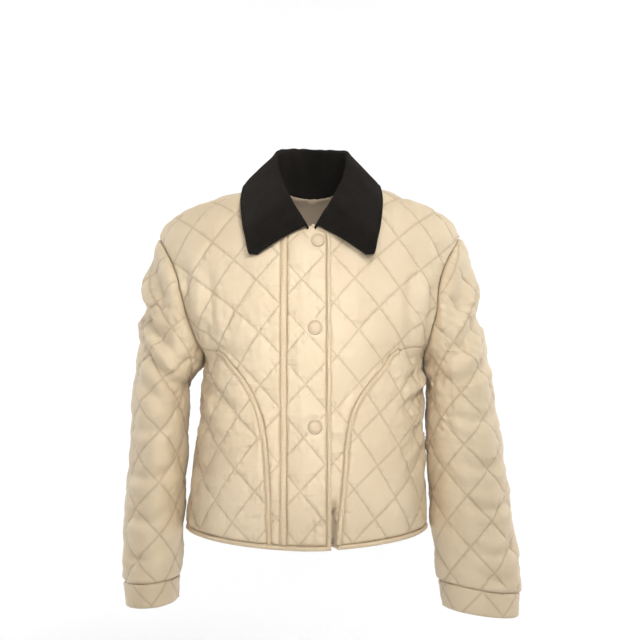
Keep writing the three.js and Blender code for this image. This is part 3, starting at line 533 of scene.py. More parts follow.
def inset(outline, distance):
    outline = distinct(outline)
    sign = 1 if area_of(outline) > 0 else -1
    before = outline - np.roll(outline, 1, axis=0)
    after = np.roll(outline, -1, axis=0) - outline
    before /= np.linalg.norm(before, axis=1, keepdims=True)
    after /= np.linalg.norm(after, axis=1, keepdims=True)
    both = before + after
    normal = np.stack([-both[:, 1], both[:, 0]], 1) * sign
    normal /= np.maximum(np.linalg.norm(normal, axis=1, keepdims=True), 1e-9)
    lean = np.maximum(normal[:, 0] * -before[:, 1] * sign + normal[:, 1] * before[:, 0] * sign, 0.5)
    return outline + normal * (distance / lean)[:, None]


def inside(points, outline):
    """Which points lie inside a closed outline."""
    x, y = points[:, 0], points[:, 1]
    found = np.zeros(len(points), bool)
    for (ax, ay), (bx, by) in zip(outline, np.roll(outline, -1, axis=0)):
        crosses = (ay > y) != (by > y)
        if crosses.any():
            found ^= crosses & (x < (bx - ax) * (y - ay) / (by - ay + 1e-12) + ax)
    return found


def distance_to_line(points, line, closed=False):
    """Distance of each point to a polyline, and how far along the nearest place lies."""
    start = np.asarray(line, float)
    end = np.roll(start, -1, axis=0) if closed else start[1:]
    start = start if closed else start[:-1]
    run = end - start
    length = np.linalg.norm(run, axis=1)
    before = np.concatenate([[0], np.cumsum(length)])[:-1]
    best, along, side = np.full(len(points), np.inf), np.zeros(len(points)), np.zeros(len(points))
    for a, r, n, b in zip(start, run, length, before):
        away = points - a
        k = np.clip((away @ r) / max(n * n, 1e-9), 0, 1)
        gap = away - k[:, None] * r
        distance = np.linalg.norm(gap, axis=1)
        near = distance < best
        best[near], along[near] = distance[near], (b + k * n)[near]
        side[near] = np.sign(r[0] * gap[:, 1] - r[1] * gap[:, 0])[near]
    return best, along / max(length.sum(), 1e-9), side


# Drape: soft folds, each seen from the front or the back. The columns are
# face, x and z of start, middle and end, half width, and depth, which is negative for a ridge.
FOLDS = [
    # chest, beside both armholes
    ("front", -176, -92, -172, -140, -168, -196, 10, 4.0),
    ("front", -160, -100, -153, -150, -150, -215, 9, -2.6),
    ("front", -142, -118, -134, -168, -138, -222, 8, 2.4),
    ("front", 186, -96, 176, -150, 170, -214, 10, 4.2),
    ("front", 166, -104, 158, -158, 154, -226, 9, -2.8),
    ("front", 146, -128, 140, -180, 146, -238, 8, 2.6),
    # waist, under the arm on the viewer's left
    ("front", -152, -262, -126, -296, -96, -310, 8, 2.6),
    ("front", -158, -318, -134, -342, -112, -348, 7, 2.2),
    ("front", -160, -388, -140, -404, -118, -400, 7, 2.0),
    # crushed quilting under the arm on the viewer's right
    ("front", 176, -238, 156, -262, 130, -270, 7, 3.2),
    ("front", 172, -262, 154, -282, 122, -290, 6, -2.4),
    ("front", 168, -282, 150, -300, 118, -322, 7, 3.4),
    ("front", 166, -306, 150, -326, 126, -352, 6, -2.2),
    ("front", 164, -330, 148, -352, 128, -384, 7, 3.0),
    ("front", 166, -366, 150, -384, 134, -412, 6, 2.4),
    # pulls towards the snaps and the pocket seams
    ("front", 24, -214, 52, -226, 84, -224, 6, 1.4),
    ("front", 24, -344, 44, -362, 54, -384, 6, 1.6),
    ("front", -40, -300, -58, -318, -66, -340, 6, 1.2),
    ("front", -44, -430, -52, -462, -56, -500, 5, 1.4),
    ("front", 34, -420, 42, -450, 44, -496, 6, 1.8),
    ("front", 4, -452, 5, -476, 6, -498, 4, 2.4),
    # left sleeve, deep below the armhole and long diagonals
    ("front", -222, -96, -214, -132, -200, -176, 8, 6.4),
    ("front", -236, -112, -228, -150, -206, -212, 8, -4.8),
    ("front", -242, -140, -224, -186, -182, -248, 9, 8.3),
    ("front", -246, -172, -228, -214, -186, -262, 8, -5.1),
    ("front", -240, -196, -220, -232, -188, -286, 8, 6.7),
    ("front", -250, -262, -226, -282, -198, -318, 8, 4.2),
    ("front", -252, -330, -228, -344, -200, -338, 8, 3.8),
    ("front", -248, -402, -224, -412, -196, -398, 8, 4.2),
    ("front", -250, -462, -222, -470, -200, -452, 7, 3.5),
    ("front", -252, -516, -228, -524, -202, -506, 7, 3.8),
    # right sleeve
    ("front", 226, -104, 218, -140, 206, -182, 8, 5.8),
    ("front", 242, -126, 232, -164, 212, -206, 8, -3.8),
    ("front", 248, -168, 232, -204, 202, -244, 8, 5.4),
    ("front", 262, -242, 236, -262, 204, -282, 8, 4.2),
    ("front", 268, -316, 240, -330, 206, -322, 8, 3.8),
    ("front", 276, -386, 246, -398, 212, -384, 8, 4.2),
    ("front", 286, -446, 254, -456, 218, -440, 7, 3.8),
    ("front", 292, -508, 262, -520, 226, -502, 7, 4.2),
    ("front", 292, -548, 268, -556, 232, -542, 6, 3.5),
    # back: yoke, shoulder blades, waist and hem
    ("back", -168, -96, -160, -148, -156, -214, 10, 3.6),
    ("back", 172, -98, 162, -152, 158, -220, 10, 3.8),
    ("back", -132, -122, -124, -170, -132, -226, 9, -2.2),
    ("back", 136, -126, 128, -178, 134, -232, 9, -2.4),
    ("back", -150, -258, -112, -292, -62, -304, 9, 2.6),
    ("back", 148, -266, 108, -300, 58, -310, 9, 2.8),
    ("back", -156, -342, -122, -362, -84, -358, 8, 2.2),
    ("back", 158, -352, 126, -372, 86, -366, 8, 2.4),
    ("back", -40, -96, -6, -112, 42, -94, 10, 2.0),
    ("back", -88, -420, -84, -458, -92, -500, 9, 2.2),
    ("back", 76, -412, 84, -456, 80, -500, 9, 2.4),
    ("back", -6, -430, 2, -462, -4, -502, 8, 1.6),
    # back of both sleeves
    ("back", -228, -104, -216, -150, -188, -214, 9, 3.6),
    ("back", -242, -150, -224, -200, -188, -256, 9, 4.2),
    ("back", -248, -262, -222, -290, -190, -312, 8, 2.6),
    ("back", -250, -350, -224, -372, -194, -362, 8, 2.6),
    ("back", -252, -440, -226, -456, -196, -442, 8, 2.4),
    ("back", 236, -110, 224, -156, 198, -216, 9, 3.6),
    ("back", 250, -158, 232, -206, 200, -254, 9, 4.0),
    ("back", 266, -262, 236, -288, 202, -306, 8, 2.6),
    ("back", 276, -358, 244, -378, 208, -366, 8, 2.6),
    ("back", 290, -462, 258, -478, 222, -462, 8, 2.6),
]
# Places where the cloth is crushed: face, x, z, radius, strength
CRUSHED = [
    ("front", 150, -310, 62, 1.5),
    ("front", -150, -290, 44, 0.9),
    ("front", -214, -190, 56, 1.8),
    ("front", 228, -190, 50, 1.3),
    ("front", 46, -450, 34, 0.9),
    ("front", 10, -470, 26, 0.8),
    ("back", -150, -290, 60, 0.9),
    ("back", 150, -290, 60, 0.9),
]
wobble = Noise(11)
ripple = Noise(37)


def bent_line(start, middle, end, count=9):
    """A curve through three places."""
    k = np.linspace(0, 1, count)[:, None]
    start, middle, end = (np.array(place, float) for place in (start, middle, end))
    control = 2 * middle - (start + end) / 2
    return (1 - k) ** 2 * start + 2 * k * (1 - k) * control + k**2 * end


FOLD_LINES = [(face, bent_line((x, z), (mx, mz), (ex, ez)), width, depth)
              for face, x, z, mx, mz, ex, ez, width, depth in FOLDS]


def facing(normals):
    """How far a place belongs to the front: 1 faces forwards, 0 backwards."""
    return smooth((0.25 - normals[:, 1]) / 0.5)


def drape(points, normals):
    """How far the cloth moves out along its normal at each place."""
    front = facing(normals)
    flat = points[:, (0, 2)]
    moved = 1.5 * wobble(points[:, 0] + 0.5 * points[:, 1], points[:, 2], 74, 92)
    moved = moved + 0.7 * wobble(points[:, 0] - 0.6 * points[:, 1] + 400, points[:, 2], 33, 41)
    for face, line, width, depth in FOLD_LINES:
        low, high = line.min(0) - 3 * width, line.max(0) + 3 * width
        near = np.where(((flat > low) & (flat < high)).all(1))[0]
        if not len(near):
            continue
        distance, along, _ = distance_to_line(flat[near], line)
        taper = np.sin(math.pi * np.clip(along * 0.94 + 0.03, 0, 1)) ** 0.6
        part = front[near] if face == "front" else 1 - front[near]
        trough = np.exp(-((distance / width) ** 2))
        trough = trough - 0.35 * np.exp(-(((distance - 2 * width) / width) ** 2))
        moved[near] -= depth * taper * part * trough
    return moved


def crushed(points, normals):
    front = facing(normals)
    total = np.ones(len(points))
    for face, x, z, radius, strength in CRUSHED:
        distance = np.hypot(points[:, 0] - x, points[:, 2] - z)
        part = front if face == "front" else 1 - front
        total += strength * part * np.exp(-((distance / radius) ** 2))
    return total


def place(wrap, s, t, w):
    """Points w above the skin of the draped cloth."""
    s, t = np.asarray(s, float), np.asarray(t, float)
    base = wrap.sample(wrap.grid, s, t)
    normal = wrap.outward(s, t)
    out = drape(base, normal) + np.asarray(w)
    return base + normal * out[:, None]


# Quilted cloth
SLANT_FROM, SLANT_RAMP, SLANT = 52.0, 40.0, 0.26


def slanted(flat, turn=1):
    """Towards both sides of the fronts the quilting sinks, so its lines bend downwards."""
    across = np.abs(flat[:, 0]) - SLANT_FROM
    bent = np.maximum(across, 0) ** 2 / (2 * SLANT_RAMP)
    eased = np.where(across > SLANT_RAMP, across - SLANT_RAMP / 2, bent)
    return np.stack([flat[:, 0], flat[:, 1] + turn * SLANT * eased], 1)


def diamond_place(s, t, crossing):
    """Quilting coordinates: whole numbers lie on the two families of stitch lines."""
    across, up = (s - crossing[0]) / DIAMOND_WIDTH, (t - crossing[1]) / DIAMOND_HEIGHT
    return across + up, across - up


LINE_GAP = DIAMOND_WIDTH * DIAMOND_HEIGHT / math.hypot(DIAMOND_WIDTH, DIAMOND_HEIGHT)
DIAMOND_EDGE = math.hypot(DIAMOND_WIDTH, DIAMOND_HEIGHT) / 2


def quilting(s, t, crossing):
    """Height of the puffs from 0 to 1, the small puckers, and how near a stitch line is."""
    first, second = diamond_place(s, t, crossing)
    puff = (np.abs(np.sin(math.pi * first) * np.sin(math.pi * second))) ** 0.62
    puckers = np.zeros(len(s))
    nearest = np.full(len(s), np.inf)
    for lines, other, shift in ((first, second, 0), (second, first, 3000)):
        index = np.round(lines)
        away = np.abs(lines - index) * LINE_GAP
        along = other * DIAMOND_EDGE
        side = np.sign(lines - index) * 500
        wave = ripple(along + shift + index * 37 + side, away, 5.2, 26)
        wave = wave + 0.6 * ripple(along + shift + 90 + index * 53 + side, away, 2.9, 17)
        puckers += wave * np.exp(-away / 8.5) * smooth(away / 2.4)
        nearest = np.minimum(nearest, away)
    return puff, puckers, nearest


def turned_up(places, triangles):
    """Flat triangles, all with their corners in the same turn."""
    a, b, c = (places[triangles[:, k]] for k in range(3))
    area = np.cross(b - a, c - a)
    return np.where((area < 0)[:, None], triangles[:, ::-1], triangles)


def fill(walls, step, origin):
    """Triangles inside closed outlines: even cells within, fitted ones along the edge."""
    outline = walls[0]
    low, high = outline.min(0) - 2 * step, outline.max(0) + 2 * step
    first = np.floor((low - origin) / step).astype(int)
    last = np.ceil((high - origin) / step).astype(int)
    i, j = np.meshgrid(np.arange(first[0], last[0] + 1), np.arange(first[1], last[1] + 1), indexing="ij")
    shape = i.shape
    grid = np.stack([origin[0] + i.ravel() * step[0], origin[1] + j.ravel() * step[1]], 1)
    covered = np.ones(len(grid), bool)
    for wall in walls:
        covered &= inside(grid, wall)
    distance = np.full(len(grid), np.inf)
    reach = float(step.max()) * 1.6
    for wall in walls:
        ends = np.roll(wall, -1, axis=0)
        for a, b in zip(wall, ends):
            box_low, box_high = np.minimum(a, b) - reach, np.maximum(a, b) + reach
            c = np.clip(np.floor((box_low - origin) / step).astype(int) - first, 0, None)
            d = np.ceil((box_high - origin) / step).astype(int) - first + 1
            if (d <= 0).any() or (c >= shape).any():
                continue
            at = (np.arange(c[0], min(d[0], shape[0]))[:, None] * shape[1]
                  + np.arange(c[1], min(d[1], shape[1]))[None]).ravel()
            run = b - a
            away = grid[at] - a
            k = np.clip(away @ run / max(float(run @ run), 1e-9), 0, 1)
            gap = np.linalg.norm(away - k[:, None] * run, axis=1)
            distance[at] = np.minimum(distance[at], gap)
    covered, distance = covered.reshape(shape), distance.reshape(shape)
    safe = covered & (distance > float(step.min()) * 0.8)
    cell = safe[:-1, :-1] & safe[1:, :-1] & safe[:-1, 1:] & safe[1:, 1:]
    even = ((i + j) % 2 == 0)[:-1, :-1]
    number = np.arange(shape[0] * shape[1]).reshape(shape)
    a, b, c, d = number[:-1, :-1], number[1:, :-1], number[1:, 1:], number[:-1, 1:]
    pairs = [(cell & even, (a, b, c), (a, c, d)), (cell & ~even, (a, b, d), (b, c, d))]
    faces = []
    for mask, *triangles in pairs:
        for triangle in triangles:
            faces.append(np.stack([corner[mask] for corner in triangle], 1))
    faces = np.concatenate(faces)
    # the band between the cells and the outline
    around = np.zeros(shape, int)
    around[:-1, :-1] += cell
    around[1:, :-1] += cell
    around[1:, 1:] += cell
    around[:-1, 1:] += cell
    band = safe & (around < 4)
    picked = number[band]
    local = {int(n): k for k, n in enumerate(picked)}
    places = [Vector(grid[n]) for n in picked]
    ringed = np.zeros((shape[0] + 1, shape[1] + 1), bool)
    ringed[1:-1, 1:-1] = cell
    along_first = (ringed[1:, 1:] ^ ringed[1:, :-1])[:-1, :]
    along_second = (ringed[1:, 1:] ^ ringed[:-1, 1:])[:, :-1]
    edges = []
    for rows, dp, dq in ((along_first, 1, 0), (along_second, 0, 1)):
        for p, q in np.argwhere(rows):
            edges.append((local[int(number[p, q])], local[int(number[p + dp, q + dq])]))
    for wall in walls:
        start = len(places)
        places.extend(Vector(corner) for corner in wall)
        edges.extend((start + k, start + (k + 1) % len(wall)) for k in range(len(wall)))
    made, _, triangles, sources, _, _ = delaunay_2d_cdt(places, edges, [], 0, 1e-4)
    made = np.array([tuple(corner) for corner in made])
    triangles = np.array([tuple(t) for t in triangles if len(t) == 3])
    centre = made[triangles].mean(1)
    keep = np.ones(len(triangles), bool)
    for wall in walls:
        keep &= inside(centre, wall)
    at = np.floor((centre - origin) / step).astype(int) - first
    keep &= ~cell[np.clip(at[:, 0], 0, shape[0] - 2), np.clip(at[:, 1], 0, shape[1] - 2)]
    triangles = triangles[keep]
    triangles = turned_up(made, triangles)
    # one numbering for both
    back = {}
    for k, source in enumerate(sources):
        lattice = [q for q in source if q < len(picked)]
        back[k] = int(picked[lattice[0]]) if lattice else len(grid) + k
    joined = np.vectorize(back.get)(triangles) if len(triangles) else triangles
    everything = np.concatenate([faces, joined])
    used, flat = np.unique(everything, return_inverse=True)
    all_places = np.concatenate([grid, made])
    return all_places[used], flat.reshape(everything.shape)


def boundary_loops(faces):
    """Closed chains of the edges that one triangle uses, keeping the triangles' turn."""
    directed = np.concatenate([faces[:, [0, 1]], faces[:, [1, 2]], faces[:, [2, 0]]])
    size = int(faces.max()) + 1
    keys = directed[:, 0] * size + directed[:, 1]
    other = directed[:, 1] * size + directed[:, 0]
    alone = directed[~np.isin(keys, other)]
    following = {}
    for a, b in alone.tolist():
        following.setdefault(a, []).append(b)
    loops = []
    while following:
        start = next(iter(following))
        loop, at = [start], following[start].pop()
        if not following[start]:
            del following[start]
        while at != start:
            loop.append(at)
            at_next = following[at].pop()
            if not following[at]:
                del following[at]
            at = at_next
        loops.append(loop)
    return loops


def new_object(name, vertices, faces, material, uv, attributes=None):
    """A mesh object from millimetres, with flat cloth coordinates in metres as its UV map."""
    mesh = bpy.data.meshes.new(name)
    vertices = np.asarray(vertices, float) * MM
    if isinstance(faces, np.ndarray):
        sides = faces.shape[1]
        mesh.vertices.add(len(vertices))
        mesh.vertices.foreach_set("co", vertices.ravel())
        mesh.loops.add(faces.size)
        mesh.loops.foreach_set("vertex_index", faces.astype(np.int32).ravel())
        mesh.polygons.add(len(faces))
        mesh.polygons.foreach_set("loop_start", np.arange(0, faces.size, sides, dtype=np.int32))
        mesh.update(calc_edges=True)
        mesh.validate()
    else:
        mesh.from_pydata(vertices.tolist(), [], faces)
        mesh.update()
    index = np.empty(len(mesh.loops), np.int32)
    mesh.loops.foreach_get("vertex_index", index)
    layer = mesh.uv_layers.new(name="cloth")
    layer.data.foreach_set("uv", (np.asarray(uv)[index] * MM).astype(np.float32).ravel())
    for key, values in (attributes or {}).items():
        mesh.attributes.new(key, "FLOAT", "POINT").data.foreach_set("value", values.astype(np.float32))
    mesh.polygons.foreach_set("use_smooth", [True] * len(mesh.polygons))
    made = bpy.data.objects.new(name, mesh)
    bpy.context.scene.collection.objects.link(made)
    made.data.materials.append(material)
    return made


def near_outline(places, walls, reach, hidden=None):
    """Distance of each place to the outlines, and how far along in millimetres."""
    distance, along = np.full(len(places), float(reach)), np.zeros(len(places))
    for wall in walls:
        length = np.linalg.norm(np.roll(wall, -1, axis=0) - wall, axis=1).sum()
        for k, (a, b) in enumerate(zip(wall, np.roll(wall, -1, axis=0))):
            low, high = np.minimum(a, b) - reach, np.maximum(a, b) + reach
            at = np.where(((places > low) & (places < high)).all(1))[0]
            if not len(at) or (hidden is not None and hidden((a + b) / 2)):
                continue
            run = b - a
            away = places[at] - a
            part = np.clip(away @ run / max(float(run @ run), 1e-9), 0, 1)
            gap = np.linalg.norm(away - part[:, None] * run, axis=1)
            closer = gap < distance[at]
            distance[at[closer]] = gap[closer]
            along[at[closer]] = k / len(wall) * length + part[closer] * np.linalg.norm(run)
    return distance, along


# Cells in half a diamond on the outer and the inner layer
OUTER_STEPS, INNER_STEPS = 14, 5
# How far in from an edge the puffs round off, and how far its gathers are felt
EDGE_ROLL, EDGE_REACH = 6.0, 26
# Heights of the small wrinkles, and how much lower the cloth lies at a seam
PUCKER, STREAK, EDGE_PUCKER, CRUSH, EDGE_DROP = 1.25, 1.0, 0.9, 1.2, 0.8
# Above this height the long wrinkles stand upright, and within the ramp below it they turn
UPRIGHT_FROM, UPRIGHT_RAMP = -330, 90
# Widths of the painted shade along the stitch lines and along the panel edges
STITCH_SHADE_WIDTH, EDGE_SHADE_WIDTH = 0.95, 1.4
LEAST_HEIGHT = 1.0


def quilted(name, wrap, outline, crossing, material, within=None, puff=PUFF, flat_zone=None,
            moved=None, slant=False, hidden=None):
    """A quilted panel: a puffed outer layer, a plain inner one and the edge that joins them."""
    walls = [inset(line, SEAM_GAP / 2) for line in (outline, within) if line is not None]
    crossing = np.array(crossing, float)
    step = np.array([DIAMOND_WIDTH, DIAMOND_HEIGHT]) / (2 * OUTER_STEPS)
    sewn_walls = [slanted(wall) for wall in walls] if slant else walls
    sewn, faces = fill(sewn_walls, step, crossing)
    flat = slanted(sewn, -1) if slant else sewn
    s, t = flat[:, 0], flat[:, 1]
    base, normal = wrap.sample(wrap.grid, s, t), wrap.outward(s, t)
    height, puckers, stitch = quilting(sewn[:, 0], sewn[:, 1], crossing)
    edge, along = near_outline(flat, walls, EDGE_REACH, hidden)
    roll = np.clip(edge / EDGE_ROLL, 0, 1)
    roll = np.sqrt(np.clip(1 - (1 - roll) ** 2, 0, 1))
    strength = crushed(base, normal)
    edge_wave = ripple(along, edge, 6.1, 30) + 0.5 * ripple(along + 700, edge, 3.3, 20)
    edge_wave = edge_wave * np.exp(-edge / 9) * smooth(edge / 3)
    crush = ripple(s + 0.7 * t, t - 0.5 * s, 11, 19) + 0.7 * ripple(s - t + 900, s + t, 6, 12)
    upright = smooth((base[:, 2] - UPRIGHT_FROM) / UPRIGHT_RAMP)
    streaks = upright * ripple(s + 1300, t, 7.5, 38) + (1 - upright) * 0.8 * ripple(s + 1700, t, 34, 8)
    gust = smooth(0.5 + 1.1 * wobble(s + 55, t, 41, 47))
    plain = np.zeros(len(s)) if flat_zone is None else flat_zone(s, t)
    share = (1 - plain) * puff / PUFF
    w = WALL + puff * (1 - plain) * height * roll
    w = w + share * strength * (PUCKER * puckers + STREAK * streaks * gust * height)
    w = w + EDGE_PUCKER * strength * (1 - 0.6 * plain) * edge_wave
    w = w + CRUSH * (strength - 0.8) * crush * np.sqrt(height) * share
    w = w - EDGE_DROP * (1 - smooth(edge / 2.4))
    out = drape(base, normal)
    shift = moved(base) if moved is not None else np.zeros((len(s), 3))
    outer = base + normal * (out + np.maximum(w, LEAST_HEIGHT))[:, None] + shift
    # the inner layer keeps the outline's places and fills the rest more widely
    loops = boundary_loops(faces)
    rings = [flat[loop] for loop in loops]
    inner_flat, inner_faces = fill_inside(rings, step * OUTER_STEPS / INNER_STEPS, crossing)
    a, b = inner_flat[:, 0], inner_flat[:, 1]
    inner_base, inner_normal = wrap.sample(wrap.grid, a, b), wrap.outward(a, b)
    inner_shift = moved(inner_base) if moved is not None else 0
    inner = inner_base + inner_normal * drape(inner_base, inner_normal)[:, None] + inner_shift
    count = len(outer)
    rim = []
    offset = 0
    for loop in loops:
        size = len(loop)
        ring = np.array(loop)
        own = count + offset + np.arange(size)
        after, own_after = np.roll(ring, -1), np.roll(own, -1)
        rim.append(np.stack([ring, own_after, after], 1))
        rim.append(np.stack([ring, own, own_after], 1))
        offset += size
    everything = np.concatenate([faces, inner_faces[:, ::-1] + count, *rim])
    vertices = np.concatenate([outer, inner])
    uv = np.concatenate([flat, inner_flat])
    # painted shade: the stitch lines and the panel's edges are marked to be darkened, where the cloth dips into
    # shade
    line = np.exp(-((stitch / STITCH_SHADE_WIDTH) ** 2)) * (1 - plain)
    line = np.maximum(line, 0.55 * np.exp(-((edge / EDGE_SHADE_WIDTH) ** 2)))
    painted_shade = np.concatenate([line, np.zeros(len(inner))])
    close = np.maximum(np.exp(-stitch / 6.5) * (1 - plain), np.exp(-edge / 7.5))
    pulled = np.concatenate([np.clip(close * strength, 0, 1), np.zeros(len(inner))])
    lining = np.concatenate([np.zeros(len(outer)), np.ones(len(inner))])
    shades = {"painted_shade": painted_shade, "lining": lining, "pulled": pulled}
    made = new_object(name, vertices, everything, material, uv, shades)
    return made, abs(sum(area_of(ring) for ring in rings)), walls


def fill_inside(rings, step, origin):
    """A wide filling of closed rings whose own places are kept, first and in order."""
    places = np.concatenate(rings)
    low, high = places.min(0), places.max(0)
    first = np.floor((low - origin) / step).astype(int)
    last = np.ceil((high - origin) / step).astype(int)
    i, j = np.meshgrid(np.arange(first[0], last[0] + 1), np.arange(first[1], last[1] + 1))
    grid = np.stack([origin[0] + i.ravel() * step[0], origin[1] + j.ravel() * step[1]], 1)
    covered = np.zeros(len(grid), bool)
    for ring in rings:
        covered ^= inside(grid, ring)
    grid = grid[covered]
    distance, _ = near_outline(grid, rings, float(step.max()))
    grid = grid[distance > float(step.min()) * 0.55]
    edges, start = [], 0
    for ring in rings:
        edges.extend((start + k, start + (k + 1) % len(ring)) for k in range(len(ring)))
        start += len(ring)
    given = [Vector(p) for p in np.concatenate([places, grid])]
    made, _, triangles, sources, _, _ = delaunay_2d_cdt(given, edges, [], 0, 1e-7)
    made = np.array([tuple(p) for p in made])
    order = np.array([source[0] if source else -1 for source in sources])
    triangles = np.array([tuple(t) for t in triangles if len(t) == 3])
    centre = made[triangles].mean(1)
    keep = np.zeros(len(triangles), bool)
    for ring in rings:
        keep ^= inside(centre, ring)
    triangles = triangles[keep]
    return np.concatenate([places, grid]), order[turned_up(made, triangles)]


# Strips along a line on the cloth
def ribbon(name, wrap, path, profile, material, moved=None, step=1.6, wave=0.25):
    """A narrow strip: profile rows are distance across and height, from the left edge round."""
    path = np.asarray(path, float)
    run = np.concatenate([[0], np.cumsum(np.linalg.norm(np.diff(path, axis=0), axis=1))])
    count = max(math.ceil(run[-1] / step), 4)
    at = np.linspace(0, run[-1], count + 1)
    line = np.stack([np.interp(at, run, path[:, k]) for k in (0, 1)], 1)
    across = across_of(line)
    rows = []
    for offset, height in profile:
        flat = line + across * offset
        noise = wave * ripple(at, np.full(len(at), offset * 3 + 50.0), 7.0) if height > 1.5 else 0
        points = place(wrap, flat[:, 0], flat[:, 1], np.full(len(at), height) + noise)
        if moved is not None:
            points = points + moved(wrap.sample(wrap.grid, flat[:, 0], flat[:, 1]))
        rows.append(points)
    grid = np.stack(rows, 1)
    sides = len(profile)
    vertices = grid.reshape(-1, 3)
    number = np.arange(len(vertices)).reshape(len(at), sides)
    a, b = number[:-1], number[1:]
    quads = np.stack([a, np.roll(a, -1, 1), np.roll(b, -1, 1), b], 2).reshape(-1, 4)
    faces = quads.tolist() + [number[0][::-1].tolist(), number[-1].tolist()]
    girth = np.concatenate([[0], np.cumsum(np.hypot(*np.diff(np.array(profile), axis=0).T))])
    uv = np.stack([np.tile(girth, len(at)), np.repeat(at, sides)], 1)
    made = new_object(name, vertices, outwards(vertices, faces), material, uv)
    return made, float(run[-1])


def sum_volume(vertices, faces):
    """Six times the volume that the faces enclose, positive where they face outwards."""
    total = 0.0
    for face in faces:
        for k in range(1, len(face) - 1):
            total += float(np.dot(vertices[face[0]], np.cross(vertices[face[k]], vertices[face[k + 1]])))
    return total


def outwards(vertices, faces):
    """Turns all faces of a closed solid outwards."""
    return faces if sum_volume(vertices, faces) > 0 else [list(face[::-1]) for face in faces]


# Materials: procedural, in the cloth's own flat coordinates
class Nodes:
    """A short way to write a node tree."""

    def __init__(self, name):
        self.material = bpy.data.materials.new(name)
        self.material.use_nodes = True
        self.tree = self.material.node_tree
        self.shader = self.tree.nodes["Principled BSDF"]
        self.cloth = self.add("ShaderNodeUVMap", uv_map="cloth").outputs[0]

    def add(self, kind, inputs=(), **settings):
        node = self.tree.nodes.new(kind)
        for key, value in settings.items():
            setattr(node, key, value)
        for key, value in dict(inputs).items():
            self.feed(node.inputs[key], value)
        return node

    def feed(self, socket, value):
        if isinstance(value, bpy.types.NodeSocket):
            self.tree.links.new(value, socket)
        else:
            socket.default_value = value

    def noise(self, scale, detail=2.0, stretch=(1, 1, 1), distortion=0.0):
        mapped = self.add("ShaderNodeMapping", {"Vector": self.cloth, "Scale": stretch})
        texture = self.add("ShaderNodeTexNoise", {"Vector": mapped.outputs[0], "Scale": scale,
                                                  "Detail": detail, "Distortion": distortion})
        return texture.outputs[0]

    def wave(self, per_metre, direction, angle=0.0):
        mapped = self.add("ShaderNodeMapping", {"Vector": self.cloth, "Rotation": (0, 0, angle)})
        scale = per_metre * 2 * math.pi / 20
        texture = self.add("ShaderNodeTexWave", {"Vector": mapped.outputs[0], "Scale": scale},
                           bands_direction=direction)
        return texture.outputs["Fac"]

    def math(self, operation, a, b=0.0):
        return self.add("ShaderNodeMath", {0: a, 1: b}, operation=operation).outputs[0]

    def between(self, value, low, high, first=0.0, last=1.0):
        return self.add("ShaderNodeMapRange", {"Value": value, "From Min": low, "From Max": high,
                                               "To Min": first, "To Max": last}).outputs[0]

    def attribute(self, name):
        return self.add("ShaderNodeAttribute", attribute_name=name).outputs["Fac"]

    def blend(self, part, first, second):
        node = self.add("ShaderNodeMix", data_type="RGBA")
        for key, value in (("Factor", part), ("A", first), ("B", second)):
            named = [socket for socket in node.inputs if socket.name == key and socket.enabled]
            self.feed([socket for socket in named if socket.type in ("RGBA", "VALUE")][0], value)
        return [s for s in node.outputs if s.enabled][0]

    def bump(self, height, distance, normal=None, strength=1.0):
        inputs = {"Height": height, "Distance": distance, "Strength": strength}
        if normal is not None:
            inputs["Normal"] = normal
        return self.add("ShaderNodeBump", inputs).outputs[0]

    def set(self, **values):
        for key, value in values.items():
            self.feed(self.shader.inputs[key.replace("_", " ")], value)
        return self.material


SHELL_COLOUR = (0.640, 0.518, 0.350, 1)
SHELL_SHADE = (0.395, 0.285, 0.180, 1)
# painted shade that the stitch lines and the panel edges are darkened towards
PAINTED_STITCH_SHADE = (0.330, 0.225, 0.135, 1)
SHELL_LIGHT = (0.700, 0.580, 0.405, 1)
LINING_COLOUR = (0.420, 0.335, 0.245, 1)
TRIM_COLOUR = (0.560, 0.441, 0.287, 1)
THREAD_COLOUR = (0.520, 0.395, 0.262, 1)
CORDUROY_DARK = (0.0055, 0.0050, 0.0042, 1)
CORDUROY_NAP = (0.0175, 0.0150, 0.0125, 1)
CAP_COLOUR = (0.590, 0.455, 0.315, 1)
# painted shade for the snap cap's outer side and its groove
PAINTED_RING_SHADE = (0.215, 0.145, 0.085, 1)
WEAVE_PER_METRE = 1500
WALES_PER_METRE = 420
# Pipings and bindings are cut on the bias
BIAS_ANGLE = 0.78


